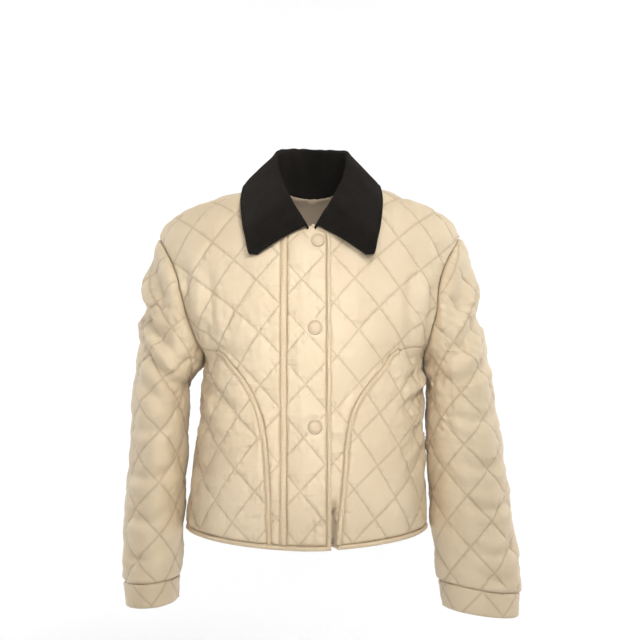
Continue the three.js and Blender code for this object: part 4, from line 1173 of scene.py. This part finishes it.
def shell_material():
    make = Nodes("shell")
    painted_shade = make.attribute("painted_shade")
    lining = make.attribute("lining")
    cloud = make.noise(9, 3)
    base = make.blend(make.between(cloud, 0.35, 0.68), SHELL_COLOUR, SHELL_LIGHT)
    fleck = make.noise(900, 2)
    base = make.blend(make.between(fleck, 0.30, 0.72, 0.0, 0.10), base, SHELL_SHADE)
    # painted shade: darker along the stitch lines and the seams, where the cloth dips
    base = make.blend(make.math("MULTIPLY", painted_shade, 0.42), base, PAINTED_STITCH_SHADE)
    base = make.blend(lining, base, LINING_COLOUR)
    creased = make.noise(120, 4, (1.0, 0.7, 1), 0.8)
    fine = make.noise(310, 3, (1, 1, 1), 0.5)
    pulled = make.attribute("pulled")
    upright = make.between(make.noise(85, 2, (1.0, 0.14, 1), 0.6), 0.50, 0.68)
    level = make.between(make.noise(75, 2, (0.18, 1.0, 1), 0.6), 0.52, 0.70)
    gathers = make.math("MULTIPLY", make.math("ADD", upright, level), pulled)
    normal = make.bump(gathers, 0.0018, None, 0.5)
    normal = make.bump(creased, 0.0012, normal, 0.18)
    normal = make.bump(fine, 0.0005, normal, 0.16)
    warp = make.wave(WEAVE_PER_METRE, "X")
    weft = make.wave(WEAVE_PER_METRE, "Y")
    normal = make.bump(make.math("MULTIPLY", warp, weft), 0.00012, normal, 0.35)
    rough = make.between(make.noise(60, 3), 0.3, 0.7, 0.46, 0.60)
    return make.set(Base_Color=base, Roughness=rough, Normal=normal, Specular_IOR_Level=0.42,
                    Sheen_Weight=0.28, Sheen_Roughness=0.38, Sheen_Tint=(1.0, 0.93, 0.83, 1))


def trim_material():
    make = Nodes("binding")
    base = make.blend(make.between(make.noise(420, 3), 0.3, 0.7), TRIM_COLOUR, SHELL_COLOUR)
    normal = make.bump(make.noise(210, 4, (1, 0.35, 1), 0.4), 0.0009, None, 0.4)
    warp = make.wave(WEAVE_PER_METRE, "X", BIAS_ANGLE)
    weft = make.wave(WEAVE_PER_METRE, "Y", BIAS_ANGLE)
    weave = make.math("MULTIPLY", warp, weft)
    normal = make.bump(weave, 0.00015, normal, 0.4)
    return make.set(Base_Color=base, Roughness=0.52, Normal=normal, Specular_IOR_Level=0.4,
                    Sheen_Weight=0.2, Sheen_Roughness=0.4, Sheen_Tint=(1.0, 0.92, 0.82, 1))


def thread_material():
    make = Nodes("thread")
    base = make.blend(make.between(make.noise(1500, 2), 0.3, 0.7), THREAD_COLOUR, SHELL_SHADE)
    return make.set(Base_Color=base, Roughness=0.6, Specular_IOR_Level=0.3)


def corduroy_material():
    make = Nodes("corduroy")
    wales = make.wave(WALES_PER_METRE, "X")
    worn = make.noise(38, 4)
    pile = make.noise(2600, 2)
    base = make.blend(make.between(wales, 0.15, 0.95), CORDUROY_DARK, CORDUROY_NAP)
    base = make.blend(make.between(worn, 0.42, 0.70, 0.0, 0.5), base, CORDUROY_NAP)
    normal = make.bump(wales, 0.0011, None, 0.9)
    normal = make.bump(pile, 0.0003, normal, 0.5)
    return make.set(Base_Color=base, Roughness=0.92, Normal=normal, Specular_IOR_Level=0.07,
                    Sheen_Weight=0.045, Sheen_Roughness=0.45, Sheen_Tint=(0.86, 0.76, 0.68, 1))


def cap_material():
    make = Nodes("snap_cap")
    base = make.blend(make.between(make.noise(500, 3), 0.3, 0.7), CAP_COLOUR, TRIM_COLOUR)
    # painted shade: the cap's outer side and its groove are darkened
    ring = make.attribute("painted_shade")
    base = make.blend(make.math("MULTIPLY", ring, 0.8), base, PAINTED_RING_SHADE)
    return make.set(Base_Color=base, Roughness=0.34, Normal=make.bump(make.noise(900, 2), 0.0002, None, 0.2),
                    Specular_IOR_Level=0.5)


SHELL, TRIM, THREAD = shell_material(), trim_material(), thread_material()
CORDUROY, CAP = corduroy_material(), cap_material()


# Stitches
STITCH_LENGTH, STITCH_PITCH, STITCH_RADIUS = 2.7, 3.7, 0.30


def stitches(name, wrap, tracks, height, moved=None):
    """Short threads along flat tracks, each pulled into the cloth at both ends."""
    centres, runs = [], []
    for track in tracks:
        track = np.asarray(track, float)
        run = np.concatenate([[0], np.cumsum(np.linalg.norm(np.diff(track, axis=0), axis=1))])
        at = np.arange(STITCH_PITCH / 2, run[-1] - STITCH_PITCH / 2, STITCH_PITCH)
        if not len(at):
            continue
        centres.append(np.stack([np.interp(at, run, track[:, k]) for k in (0, 1)], 1))
        ahead = np.stack([np.interp(at + 0.5, run, track[:, k]) for k in (0, 1)], 1)
        runs.append((ahead - centres[-1]) / 0.5)
    if not centres:
        return None
    centres, runs = np.concatenate(centres), np.concatenate(runs)
    runs /= np.maximum(np.linalg.norm(runs, axis=1, keepdims=True), 1e-9)
    sides = np.stack([runs[:, 1], -runs[:, 0]], 1)
    rings = []
    for along, rise, radius in ((-0.5, -0.30, 0.45), (0.0, 0.22, 1.0), (0.5, -0.30, 0.45)):
        for turn in (0, 1, 2, 3):
            angle = (turn + 0.5) * math.pi / 2
            flat = centres + runs * along * STITCH_LENGTH
            flat = flat + sides * math.cos(angle) * STITCH_RADIUS * radius
            w = np.full(len(flat), height + rise + math.sin(angle) * STITCH_RADIUS * radius)
            points = place(wrap, flat[:, 0], flat[:, 1], w)
            if moved is not None:
                points = points + moved(wrap.sample(wrap.grid, flat[:, 0], flat[:, 1]))
            rings.append(points)
    vertices = np.stack(rings, 1).reshape(-1, 3)
    faces = []
    for ring in (0, 4):
        for turn in range(4):
            after = (turn + 1) % 4
            faces.append((ring + turn, ring + after, ring + 4 + after, ring + 4 + turn))
    faces.append((3, 2, 1, 0))
    faces.append((8, 9, 10, 11))
    faces = np.array(faces)
    if sum_volume(vertices[:12], faces) < 0:
        faces = faces[:, ::-1]
    faces = (faces[None] + np.arange(len(centres))[:, None, None] * 12).reshape(-1, 4)
    uv = np.repeat(centres, 12, axis=0)
    return new_object(name, vertices, faces, THREAD, uv)


def quilting_tracks(walls, crossing, skip=None, slant=False, margin=3.0):
    """The parts of both families of stitch lines that lie on a panel."""
    outline = slanted(walls[0]) if slant else walls[0]
    first, second = diamond_place(outline[:, 0], outline[:, 1], crossing)
    tracks = []
    for family in (0, 1):
        own, other = (first, second) if family == 0 else (second, first)
        for line in range(math.floor(own.min()), math.ceil(own.max()) + 1):
            along = np.arange(other.min(), other.max(), 1.0 / 48)
            fixed = np.full(len(along), line)
            one, two = (fixed, along) if family == 0 else (along, fixed)
            s = crossing[0] + DIAMOND_WIDTH * (one + two) / 2
            t = crossing[1] + DIAMOND_HEIGHT * (one - two) / 2
            flat = np.stack([s, t], 1)
            flat = slanted(flat, -1) if slant else flat
            good = np.ones(len(flat), bool)
            for wall in walls:
                good &= inside(flat, wall)
            if skip is not None:
                good &= ~skip(flat[:, 0], flat[:, 1])
            if good.any():
                distance, _ = near_outline(flat, walls, margin + 1)
                good &= distance > margin
            ends = np.flatnonzero(np.diff(np.concatenate([[False], good, [False]]).astype(int)))
            for a, b in zip(ends[::2], ends[1::2]):
                if b - a > 4:
                    tracks.append(flat[a:b])
    return tracks


# Pieces
quarter = math.pi / 2
hem_edge = HEM_SIDE + BINDING_WIDTH
origins = {side: front_at(*CROSSINGS[side]) for side in ("left", "right")}
neck_bottom = body_height("front", NECK_CENTRE, -NECK_DEPTH["front"])
pocket_seams = {side: pocket_seam(side) for side in ("left", "right")}
snap_places = [(name, front_at(x, z)) for name, x, z in SNAPS]
SEAT_RADIUS = 11.5


def neck_angle(x):
    return math.asin((x - NECK_CENTRE) / NECK_HALF)


def finish_piece(made, node):
    """Ties a piece to the frame: what it rides on and what it stands in for."""
    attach(made, "root")
    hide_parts(node)


def add_panel(node, wrap, outline, crossing, held="draped", skip=None, **options):
    made, area, walls = quilted(node + "_cloth", wrap, outline, crossing, SHELL, **options)
    cut = walls[0] if len(walls) == 1 else walls[0][inside(walls[0], walls[1])]
    if len(walls) > 1:
        cut = np.concatenate([cut, walls[1][inside(walls[1], walls[0])]])
    finish_piece(made, node)
    tracks = quilting_tracks(walls, np.array(crossing, float), skip, options.get("slant", False))
    sewn = stitches(node + "_stitches", wrap, tracks, WALL, moved=options.get("moved"))
    if sewn is not None:
        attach(sewn, "root")


def back_outline():
    halves = []
    for side in ("right", "left"):
        halves.append([*neck_line("back", side, 0, quarter), *shoulder_seam("back", side),
                       *armhole_line(side, "back"), *side_seam("back", side, ARMHOLE_BOTTOM, hem_edge)])
    right, left = halves
    hem = hem_path("back", right[-1][0], left[-1][0], BINDING_WIDTH)[1:-1]
    return [*right, *hem, *left[::-1]]


def front_half(side, inner_x):
    sign = sign_of(side)
    seam = side_seam("front", side, ARMHOLE_BOTTOM, hem_edge)
    inner_hem = front_at(inner_x, HEM_FRONT)[0]
    return [
        *neck_line("front", side, neck_angle(inner_x) * sign, quarter),
        *shoulder_seam("front", side),
        *armhole_line(side, "front"),
        *seam,
        *hem_path("front", seam[-1][0], inner_hem, BINDING_WIDTH)[1:],
        *straight_down(inner_x, HEM_FRONT + BINDING_WIDTH, neck_bottom - 4)[1:],
    ]


def piping_start(side):
    """Number of the seam's place at the pocket's upper end, where the piping starts."""
    away = pocket_seams[side] - front_at(*POCKET_SEAMS[side][0])
    return int(np.linalg.norm(away, axis=1).argmin()) + 1


# How near the plain part of a pocket seam a place is to belong to it
PLAIN_SEAM_REACH = 3.2
# Beyond a pocket seam: bottom and top of the flat plane and reach past its two sides
BEYOND_LOW, BEYOND_HIGH, BEYOND_MIDDLE, BEYOND_SIDE = -40.0, 700.0, 60, 400
SEAM_OVERRUN = 12
# How much of a piping's width lies on each of the panels beside it
PIPING_OVERLAP = 0.36


def plain_seam(side):
    """Tells whether a place lies on the closed seam above the pocket's upper end."""
    above = pocket_seams[side][: piping_start(side)]
    return lambda place: float(np.linalg.norm(above - place, axis=1).min()) < PLAIN_SEAM_REACH


def beside_seam(side, part):
    """The region on one side of a pocket seam."""
    sign = sign_of(side)
    towards = sign if part == "inside" else -sign
    seam = pocket_seams[side]
    steps = np.where(np.arange(len(seam)) < piping_start(side), SEAM_GAP / 2, PIPING_WIDTH * PIPING_OVERLAP)
    line = sidestep(seam, towards * steps[:, None])
    start = line[0] + SEAM_OVERRUN * (line[0] - line[1])
    end = np.array([line[-1][0], BEYOND_LOW])
    far = sign * (-BEYOND_MIDDLE if part == "inside" else BEYOND_SIDE)
    corners = [end, [far, BEYOND_LOW], [far, BEYOND_HIGH if part == "inside" else start[1]]]
    if part == "inside":
        corners.append([start[0], BEYOND_HIGH])
    return np.array([start, *line, *corners], float)


def near_snaps(s, t):
    closest = np.full(len(s), np.inf)
    for _, (x, y) in snap_places:
        closest = np.minimum(closest, np.hypot(s - x, t - y))
    return closest


def snap_seat(s, t):
    return 1 - smooth((near_snaps(s, t) - SEAT_RADIUS + 2) / 9)


def lift_placket(base):
    """The placket steps up over the underlap beside its stitched strip."""
    rise = LIFT * smooth((base[:, 0] - STRIP_X) / (UNDERLAP_X - 2 - STRIP_X))
    return np.stack([np.zeros(len(base)), -rise, np.zeros(len(base))], 1)


def fall_back(base):
    """Low down, the under front swings back between the placket and the pocket seam."""
    across = smooth((POCKET_SEAMS["right"][-1][0] - base[:, 0]) / FALL_BACK_RAMP)
    down = smooth((FALL_BACK_FROM - base[:, 2]) / (FALL_BACK_FROM - HEM_FRONT))
    return np.stack([np.zeros(len(base)), FALL_BACK_DEPTH * across * down, np.zeros(len(base))], 1)


add_panel("back", wraps["back"], back_outline(), (0, 300))
add_panel("front_left", wraps["front"], front_half("left", STRIP_X - STRIP_WIDTH / 2), origins["left"],
          within=beside_seam("left", "inside"), slant=True, hidden=plain_seam("left"))
under_from = front_at(PLACKET_EDGE_X, SNAPS[1][2])[0] - 4
add_panel("front_right", wraps["front"], front_half("right", UNDERLAP_X), origins["right"],
          within=beside_seam("right", "inside"), moved=fall_back, slant=True, hidden=plain_seam("right"),
          flat_zone=lambda s, t: 1 - smooth((s - under_from) / 6), skip=lambda s, t: s < under_from + 2)
SIDE_FRONT_FROM = 35
for side in ("left", "right"):
    add_panel("side_front_" + side, wraps["front"], front_half(side, sign_of(side) * SIDE_FRONT_FROM), origins[side],
              within=beside_seam(side, "outside"), slant=True, hidden=plain_seam(side))


def placket_outline():
    strip_side, edge = STRIP_X + STRIP_WIDTH / 2, PLACKET_EDGE_X - BINDING_WIDTH
    return [
        *neck_line("front", "left", -neck_angle(strip_side), 0),
        front_at(edge - 9, PLACKET_CORNER_Z + 5),
        front_at(edge - 2.5, PLACKET_CORNER_Z + 1.5),
        *straight_down(edge, PLACKET_CORNER_Z - 6, HEM_FRONT + BINDING_WIDTH),
        *hem_path("front", *(front_at(x, HEM_FRONT)[0] for x in (edge, strip_side)), BINDING_WIDTH)[1:],
        *straight_down(strip_side, HEM_FRONT + BINDING_WIDTH, neck_bottom)[1:-1],
    ]


add_panel("placket", wraps["front"], placket_outline(), origins["left"], moved=lift_placket,
          flat_zone=snap_seat, skip=lambda s, t: near_snaps(s, t) < SEAT_RADIUS + 1)


def cuff_height(side, kind, s):
    outer, inner = CUFFS[side][kind]
    share = min(abs(s) / sleeves[side].reach(1, outer), 1)
    return mix(outer, inner, float(smooth(share)))


def cuff_line(side, kind, start, end):
    return [sleeves[side].flat(s, cuff_height(side, kind, s)) for s in np.linspace(start, end, 40)]


def sleeve_outline(side):
    wrap = sleeves[side]
    low = CUFFS[side]["seam"][1]

    def cap(turn):
        face = "front" if sleeve_turn(side, "front") == turn else "back"
        return [sleeve_armhole(side, face, z) for z in armhole_heights(70)]

    def underarm(turn, start, end):
        return [wrap.flat(turn * wrap.reach(turn, z), z) for z in np.linspace(start, end, 40)]

    return [
        *cap(1),
        *underarm(1, ARMHOLE_BOTTOM - 3, low),
        *cuff_line(side, "seam", wrap.reach(1, low), -wrap.reach(-1, low))[1:-1],
        *underarm(-1, low, ARMHOLE_BOTTOM - 3),
        *cap(-1)[::-1],
    ]


def cuff_outline(side):
    wrap = sleeves[side]
    seam_inner, edge_inner = CUFFS[side]["seam"][1], CUFFS[side]["edge"][1]
    return [
        *cuff_line(side, "seam", -wrap.reach(-1, seam_inner), wrap.reach(1, seam_inner)),
        *cuff_line(side, "edge", wrap.reach(1, edge_inner), -wrap.reach(-1, edge_inner)),
    ]


for side in ("left", "right"):
    add_panel("sleeve_" + side, sleeves[side], sleeve_outline(side), (0, 300), held="hung")
    add_panel("cuff_" + side, sleeves[side], cuff_outline(side), (DIAMOND_WIDTH / 4, 20), held="hung",
              puff=PUFF * 0.45)


# Flat strips, bindings and pipings
def rounded(width, low, high, steps=9):
    """A section with a flat foot and an arched top."""
    half = width / 2
    turns = np.linspace(0, math.pi, steps)
    arch = [(half * math.cos(a), low + (high - low) * math.sin(a) ** 0.6) for a in turns]
    return [(-half, low - 0.4), (half, low - 0.4), *arch]


def stitched(width, low, high, rows, dip=0.9):
    """A flat band with a groove along each row of stitches."""
    half = width / 2
    top = []
    for x in np.linspace(half, -half, 23):
        edge = (1 - abs(x / half) ** 6) ** 0.5 if abs(x) < half else 0
        groove = sum(dip * math.exp(-(((x - row) / 0.6) ** 2)) for row in rows)
        top.append((float(x), low + (high - low) * edge - groove * edge))
    return [(-half, low - 0.4), (half, low - 0.4), *top]


def add_strip(name, node, path, profile, moved=None, wave=0.25, wrap=None):
    made, length = ribbon(name, wrap or wraps["front"], path, profile, TRIM, moved, wave=wave)
    profile = np.array(profile)
    finish_piece(made, node)


STRIP_ROWS = (-2.6, 2.6)
strip_path = straight_down(STRIP_X, neck_bottom + 5, HEM_FRONT + BINDING_WIDTH + 1)
add_strip("placket_strip_cloth", "placket_strip", strip_path,
          stitched(STRIP_WIDTH + 0.6, 0.0, WALL + 2.6, STRIP_ROWS))
binding_x, binding_z = PLACKET_EDGE_X - BINDING_WIDTH / 2, PLACKET_CORNER_Z - 7
edge_top = [neck_point("front", "left", 0), front_at(PLACKET_EDGE_X - 12.5, PLACKET_CORNER_Z + 4.2),
            front_at(PLACKET_EDGE_X - 5.5, PLACKET_CORNER_Z + 1.0), front_at(binding_x, binding_z)]
edge_path = [*catmull_rom(edge_top, 24)[:-1],
             *straight_down(binding_x, binding_z, HEM_FRONT + BINDING_WIDTH)]
add_strip("placket_binding_cloth", "placket_binding", edge_path,
          rounded(BINDING_WIDTH + 0.8, 0.2, WALL + 3.6), moved=lift_placket, wave=0.4)
for side in ("left", "right"):
    add_strip("piping_" + side + "_cloth", "piping_" + side, pocket_seams[side][piping_start(side):],
              stitched(PIPING_WIDTH - 0.6, 0.0, WALL + 2.9, (-sign_of(side) * 1.9,), 0.6),
              wave=0.5)

over_edge, under_edge = front_at(PLACKET_EDGE_X, HEM_FRONT)[0], front_at(UNDERLAP_X, HEM_FRONT)[0]
front_reach = wraps["front"].reach(1, HEM_SIDE)
back_reach = wraps["back"].reach(1, HEM_SIDE)
hem_strips = [
    ("hem_binding_front_left", "front", -front_reach, over_edge, lift_placket),
    ("hem_binding_front_right", "front", under_edge, front_reach, fall_back),
    ("hem_binding_back", "back", -back_reach, back_reach, None),
]
for name, face, start, end, moved in hem_strips:
    path = [hem_place(face, s, BINDING_WIDTH / 2 - 0.6) for s in np.linspace(start, end, 90)]
    add_strip(name + "_cloth", name, path, rounded(BINDING_WIDTH + 1.0, -0.2, WALL + 3.2),
              moved, 0.5, wraps[face])


# Snap caps


# Radius and height, from the middle of the foot round to the middle of the top
CAP_PROFILE = [
    (0, -0.6), (8.6, -0.6), (9.8, -0.2), (10.0, 0.7), (9.7, 1.5), (9.0, 1.9), (8.2, 1.7),
    (7.7, 1.2), (7.3, 1.3), (6.6, 1.8), (5.2, 2.2), (3.4, 2.5), (1.6, 2.65), (0, 2.7),
]


def snap_cap(name, centre):
    """A cap pressed into the cloth: an outer ring, a groove and a low dome."""
    profile = CAP_PROFILE
    s, t = np.array([centre[0]]), np.array([centre[1]])
    wrap = wraps["front"]
    base, normal = wrap.sample(wrap.grid, s, t), wrap.outward(s, t)
    foot = place(wrap, s, t, np.array([WALL + 0.4])) + lift_placket(base)
    out = Vector(normal[0])
    turn = out.to_track_quat("Z", "Y").to_matrix()
    steps = 64
    vertices, faces = [], []
    for radius, rise in profile:
        for k in range(steps if radius else 1):
            angle = 2 * math.pi * k / steps
            own = Vector((radius * math.cos(angle), radius * math.sin(angle), rise))
            vertices.append(Vector(foot[0]) + turn @ own)
    for row in range(len(profile) - 3):
        low = 1 + row * steps
        for k in range(steps):
            after = (k + 1) % steps
            faces.append([low + k, low + after, low + steps + after, low + steps + k])
    last = 1 + (len(profile) - 3) * steps
    top = len(vertices) - 1
    for k in range(steps):
        after = (k + 1) % steps
        faces.append([0, 1 + after, 1 + k])
        faces.append([last + k, last + after, top])
    vertices = np.array([tuple(v) for v in vertices])
    uv = vertices[:, (0, 2)]
    # painted shade: marks the cap's outer side and its groove to be darkened
    shaded = [0.9 if radius > 9.6 or 7.4 < radius < 8.0 else 0 for radius, _ in profile]
    ring = np.array([shaded[0]] + [value for value in shaded[1:-1] for _ in range(steps)] + [shaded[-1]])
    made = new_object(name + "_dome", vertices, outwards(vertices, faces), CAP, uv, {"painted_shade": ring})
    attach(made, "root")
    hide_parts(name)


for name, centre in snap_places:
    snap_cap(name, centre)


# Collar: rows from its front end round to the middle of the back. Each gives the neck
# seam, the fold and the outer edge, as distance from the middle, depth and height.
COLLAR_WALL = 2.6
COLLAR_ROWS = [
    ((4, -87, -68), (5, -92, -57), (75, -109, -107)),
    ((8, -86, -64), (11, -90, -47), (86, -108, -106)),
    ((17, -81, -55), (21, -84, -31), (92, -101, -84)),
    ((30, -74, -45), (33, -69, -10), (97, -87, -62)),
    ((47, -52, -20), (46, -42, 22), (101, -52, -25)),
    ((58, -24, -4), (51, -18, 44), (98, -9, -5)),
    ((58, 12, -3), (49, 16, 56), (86, 38, -8)),
    ((38, 42, -9), (32, 42, 61), (56, 70, -27)),
    ((0, 53, -19), (0, 54, 62), (0, 80, -33)),
]
COLLAR_RUNS = (0.0, 0.5, 1.3, 2.3, 3.5, 4.6, 5.6, 6.6, 7.6)


def collar_controls(row):
    seam, fold, edge = (np.array(place, float) for place in row)
    away = (edge - seam) * [1, 1, 0]
    away /= np.linalg.norm(away)
    lift = np.array([0, 0, 1.0])
    return np.array([
        seam + lift * 7,
        seam + (fold - seam) * 0.5 + lift * 2 - away * 0.5,
        fold - away * 0.4 - lift * 5,
        fold + away * 1.6 + lift * 0.6,
        fold + away * 5.2 - lift * 0.8,
        fold + (edge - fold) * 0.45 + away * 3 + lift * 6,
        fold + (edge - fold) * 0.78 + away * 1.5 + lift * 8.5,
        edge + lift * 9,
    ])


def smooth_rows(values, runs, at):
    """A monotone cubic through rows of points."""
    flat = values.reshape(len(values), -1)
    rise = np.diff(flat, axis=0) / np.diff(runs)[:, None]
    product = rise[:-1] * rise[1:]
    total = rise[:-1] + rise[1:]
    inner = np.where(product > 0, 2 * product / np.where(total == 0, 1, total), 0)
    slope = np.concatenate([rise[:1], inner, rise[-1:]])
    i = np.clip(np.searchsorted(runs, at) - 1, 0, len(runs) - 2)
    span = (runs[i + 1] - runs[i])[:, None]
    k = (at - runs[i])[:, None] / span
    out = flat[i] * (1 + 2 * k) * (1 - k) ** 2 + slope[i] * span * k * (1 - k) ** 2
    out = out + flat[i + 1] * (3 - 2 * k) * k**2 + slope[i + 1] * span * k**2 * (k - 1)
    return out.reshape(len(at), *values.shape[1:])


def collar():
    half = np.array([collar_controls(row) for row in COLLAR_ROWS])
    runs = np.array(COLLAR_RUNS)
    count = 120
    at = np.linspace(0, runs[-1], count + 1)
    both = np.concatenate([half, half[:-1][::-1] * [-1, 1, 1]])
    all_runs = np.concatenate([runs, 2 * runs[-1] - runs[:-1][::-1]])
    rows = smooth_rows(both, all_runs, np.concatenate([at, 2 * runs[-1] - at[:-1][::-1]]))
    # across: evenly spaced along the smooth section
    across = 64
    top = np.array([catmull_rom(row, across) for row in rows])
    top[:, :, 0] += NECK_CENTRE
    along, over = np.gradient(top, axis=0), np.gradient(top, axis=1)
    normal = np.cross(over, along)
    normal /= np.maximum(np.linalg.norm(normal, axis=2, keepdims=True), 1e-9)
    middle = normal[len(rows) // 2, across // 2 + 14]
    if middle[1] < 0:
        normal = -normal
    i, j = np.meshgrid(np.arange(len(rows)), np.arange(across + 1), indexing="ij")
    runs_along = np.concatenate([[0], np.cumsum(np.linalg.norm(np.diff(top[:, -8], axis=0), axis=1))])
    runs_across = np.concatenate([[0], np.cumsum(np.linalg.norm(np.diff(top[30], axis=0), axis=1))])
    length = np.repeat(runs_along[:, None], across + 1, axis=1)
    width = np.repeat(runs_across[None], len(rows), axis=0)
    dent = 1.1 * wobble(length + 40, width, 46, 60) + 0.5 * wobble(length + 300, width + 70, 19, 27)
    ease = smooth(width / 22) * (1 - 0.5 * smooth((width - runs_across[-1] + 14) / 14))
    # the rim: turned edge with a stitched line beside it
    rim_distance = np.minimum(np.minimum(i, len(rows) - 1 - i) * 2.1, (across - j) * 1.9)
    seam_line = -0.7 * np.exp(-(((rim_distance - 6.5) / 1.2) ** 2)) * (width > 46)
    edge_fall = -1.2 * (1 - np.clip(rim_distance / 2.6, 0, 1)) ** 2
    outer = top + normal * ((dent * ease + seam_line + edge_fall)[:, :, None] + COLLAR_WALL / 2)
    inner = top + normal * ((dent * ease)[:, :, None] - COLLAR_WALL / 2)
    total = outer.shape[0] * outer.shape[1]
    number = np.arange(total).reshape(outer.shape[:2])
    a, b, c, d = number[:-1, :-1], number[1:, :-1], number[1:, 1:], number[:-1, 1:]
    quads = np.stack([a, b, c, d], 2).reshape(-1, 4)
    loop = [*number[:, 0], *number[-1, 1:], *number[::-1, -1][1:], *number[0, ::-1][1:-1]]
    rim = [[loop[k], loop[(k + 1) % len(loop)], loop[(k + 1) % len(loop)] + total, loop[k] + total]
           for k in range(len(loop))]
    faces = quads.tolist() + [(face[::-1] + total).tolist() for face in quads]
    vertices = np.concatenate([outer.reshape(-1, 3), inner.reshape(-1, 3)])
    first = quads.tolist()[0]
    corner = np.array([vertices[k] for k in first[:3]])
    turned = np.cross(corner[1] - corner[0], corner[2] - corner[0]) @ normal[0, 0]
    # the rim faces run against the outer layer's edges
    faces += [face[::-1] for face in rim]
    if turned < 0:
        faces = [face[::-1] for face in faces]
    uv = np.concatenate([np.stack([length.ravel(), width.ravel()], 1)] * 2)
    made = new_object("collar_cloth", vertices, faces, CORDUROY, uv)
    finish_piece(made, "collar")


collar()


# Floor, backdrop, lights and camera
def plain_material(name, colour, roughness):
    made = bpy.data.materials.new(name)
    made.use_nodes = True
    shader = made.node_tree.nodes["Principled BSDF"]
    shader.inputs["Base Color"].default_value = colour
    shader.inputs["Roughness"].default_value = roughness
    return made


def sweep():
    """A pale floor that rises behind the jacket in one curve."""
    floor, back, wide, bend = -0.90, 2.6, 6.0, 0.9
    rows = [(-4.0, floor)]
    for k in range(17):
        angle = k / 16 * math.pi / 2
        rows.append((back - bend + bend * math.sin(angle), floor + bend - bend * math.cos(angle)))
    rows.append((back, floor + 5.0))
    vertices = [(x, y, z) for y, z in rows for x in (-wide, wide)]
    faces = [(2 * k, 2 * k + 1, 2 * k + 3, 2 * k + 2) for k in range(len(rows) - 1)]
    mesh = bpy.data.meshes.new("floor")
    mesh.from_pydata(vertices, [], faces)
    mesh.polygons.foreach_set("use_smooth", [True] * len(faces))
    made = bpy.data.objects.new("floor", mesh)
    bpy.context.scene.collection.objects.link(made)
    made.data.materials.append(plain_material("paper", (0.93, 0.93, 0.935, 1), 0.9))


def area_light(name, at, towards, size, power, colour=(1, 1, 1), spread=180):
    data = bpy.data.lights.new(name, "AREA")
    data.shape, data.size, data.size_y = "RECTANGLE", size[0], size[1]
    data.energy, data.color, data.spread = power, colour, math.radians(spread)
    made = bpy.data.objects.new(name, data)
    made.location = at
    made.rotation_euler = (Vector(towards) - Vector(at)).to_track_quat("-Z", "Y").to_euler()
    bpy.context.scene.collection.objects.link(made)


sweep()
area_light("key", (0.45, -1.35, 0.95), (0.0, 0, -0.2), (0.7, 0.7), 21, (1.0, 0.99, 0.97))
area_light("front", (-0.15, -2.5, 0.25), (-0.01, 0, -0.28), (0.22, 0.4), 0.27, (1.0, 1.0, 1.0), 14)
area_light("fill", (-1.2, -2.2, 0.3), (0.0, 0, -0.3), (1.1, 1.2), 5, (0.98, 0.99, 1.0))
area_light("top", (0.1, -0.3, 2.0), (0.0, 0, -0.3), (1.0, 0.8), 7)
for side in (-1, 1):
    towards = (side * 0.6, 2.6, 0.1)
    area_light("backdrop" + str(side + 1), (side * 2.9, 0.9, 0.9), towards, (1.2, 2.2), 60)
world = bpy.data.worlds.new("studio")
world.use_nodes = True
world.node_tree.nodes["Background"].inputs["Color"].default_value = (1, 1, 1, 1)
world.node_tree.nodes["Background"].inputs["Strength"].default_value = 0.21
bpy.context.scene.world = world

CAMERA_PLACE = (0.0167, -2.2, -0.1885)
CAMERA_LENS, SENSOR_WIDTH = 85.34, 36.0
camera = bpy.data.cameras.new("camera")
camera.lens, camera.sensor_width = CAMERA_LENS, SENSOR_WIDTH
viewer = bpy.data.objects.new("camera", camera)
viewer.location = CAMERA_PLACE
viewer.rotation_euler = (math.pi / 2, 0, 0)
bpy.context.scene.collection.objects.link(viewer)
bpy.context.scene.camera = viewer
bpy.context.scene.view_settings.view_transform = "Standard"
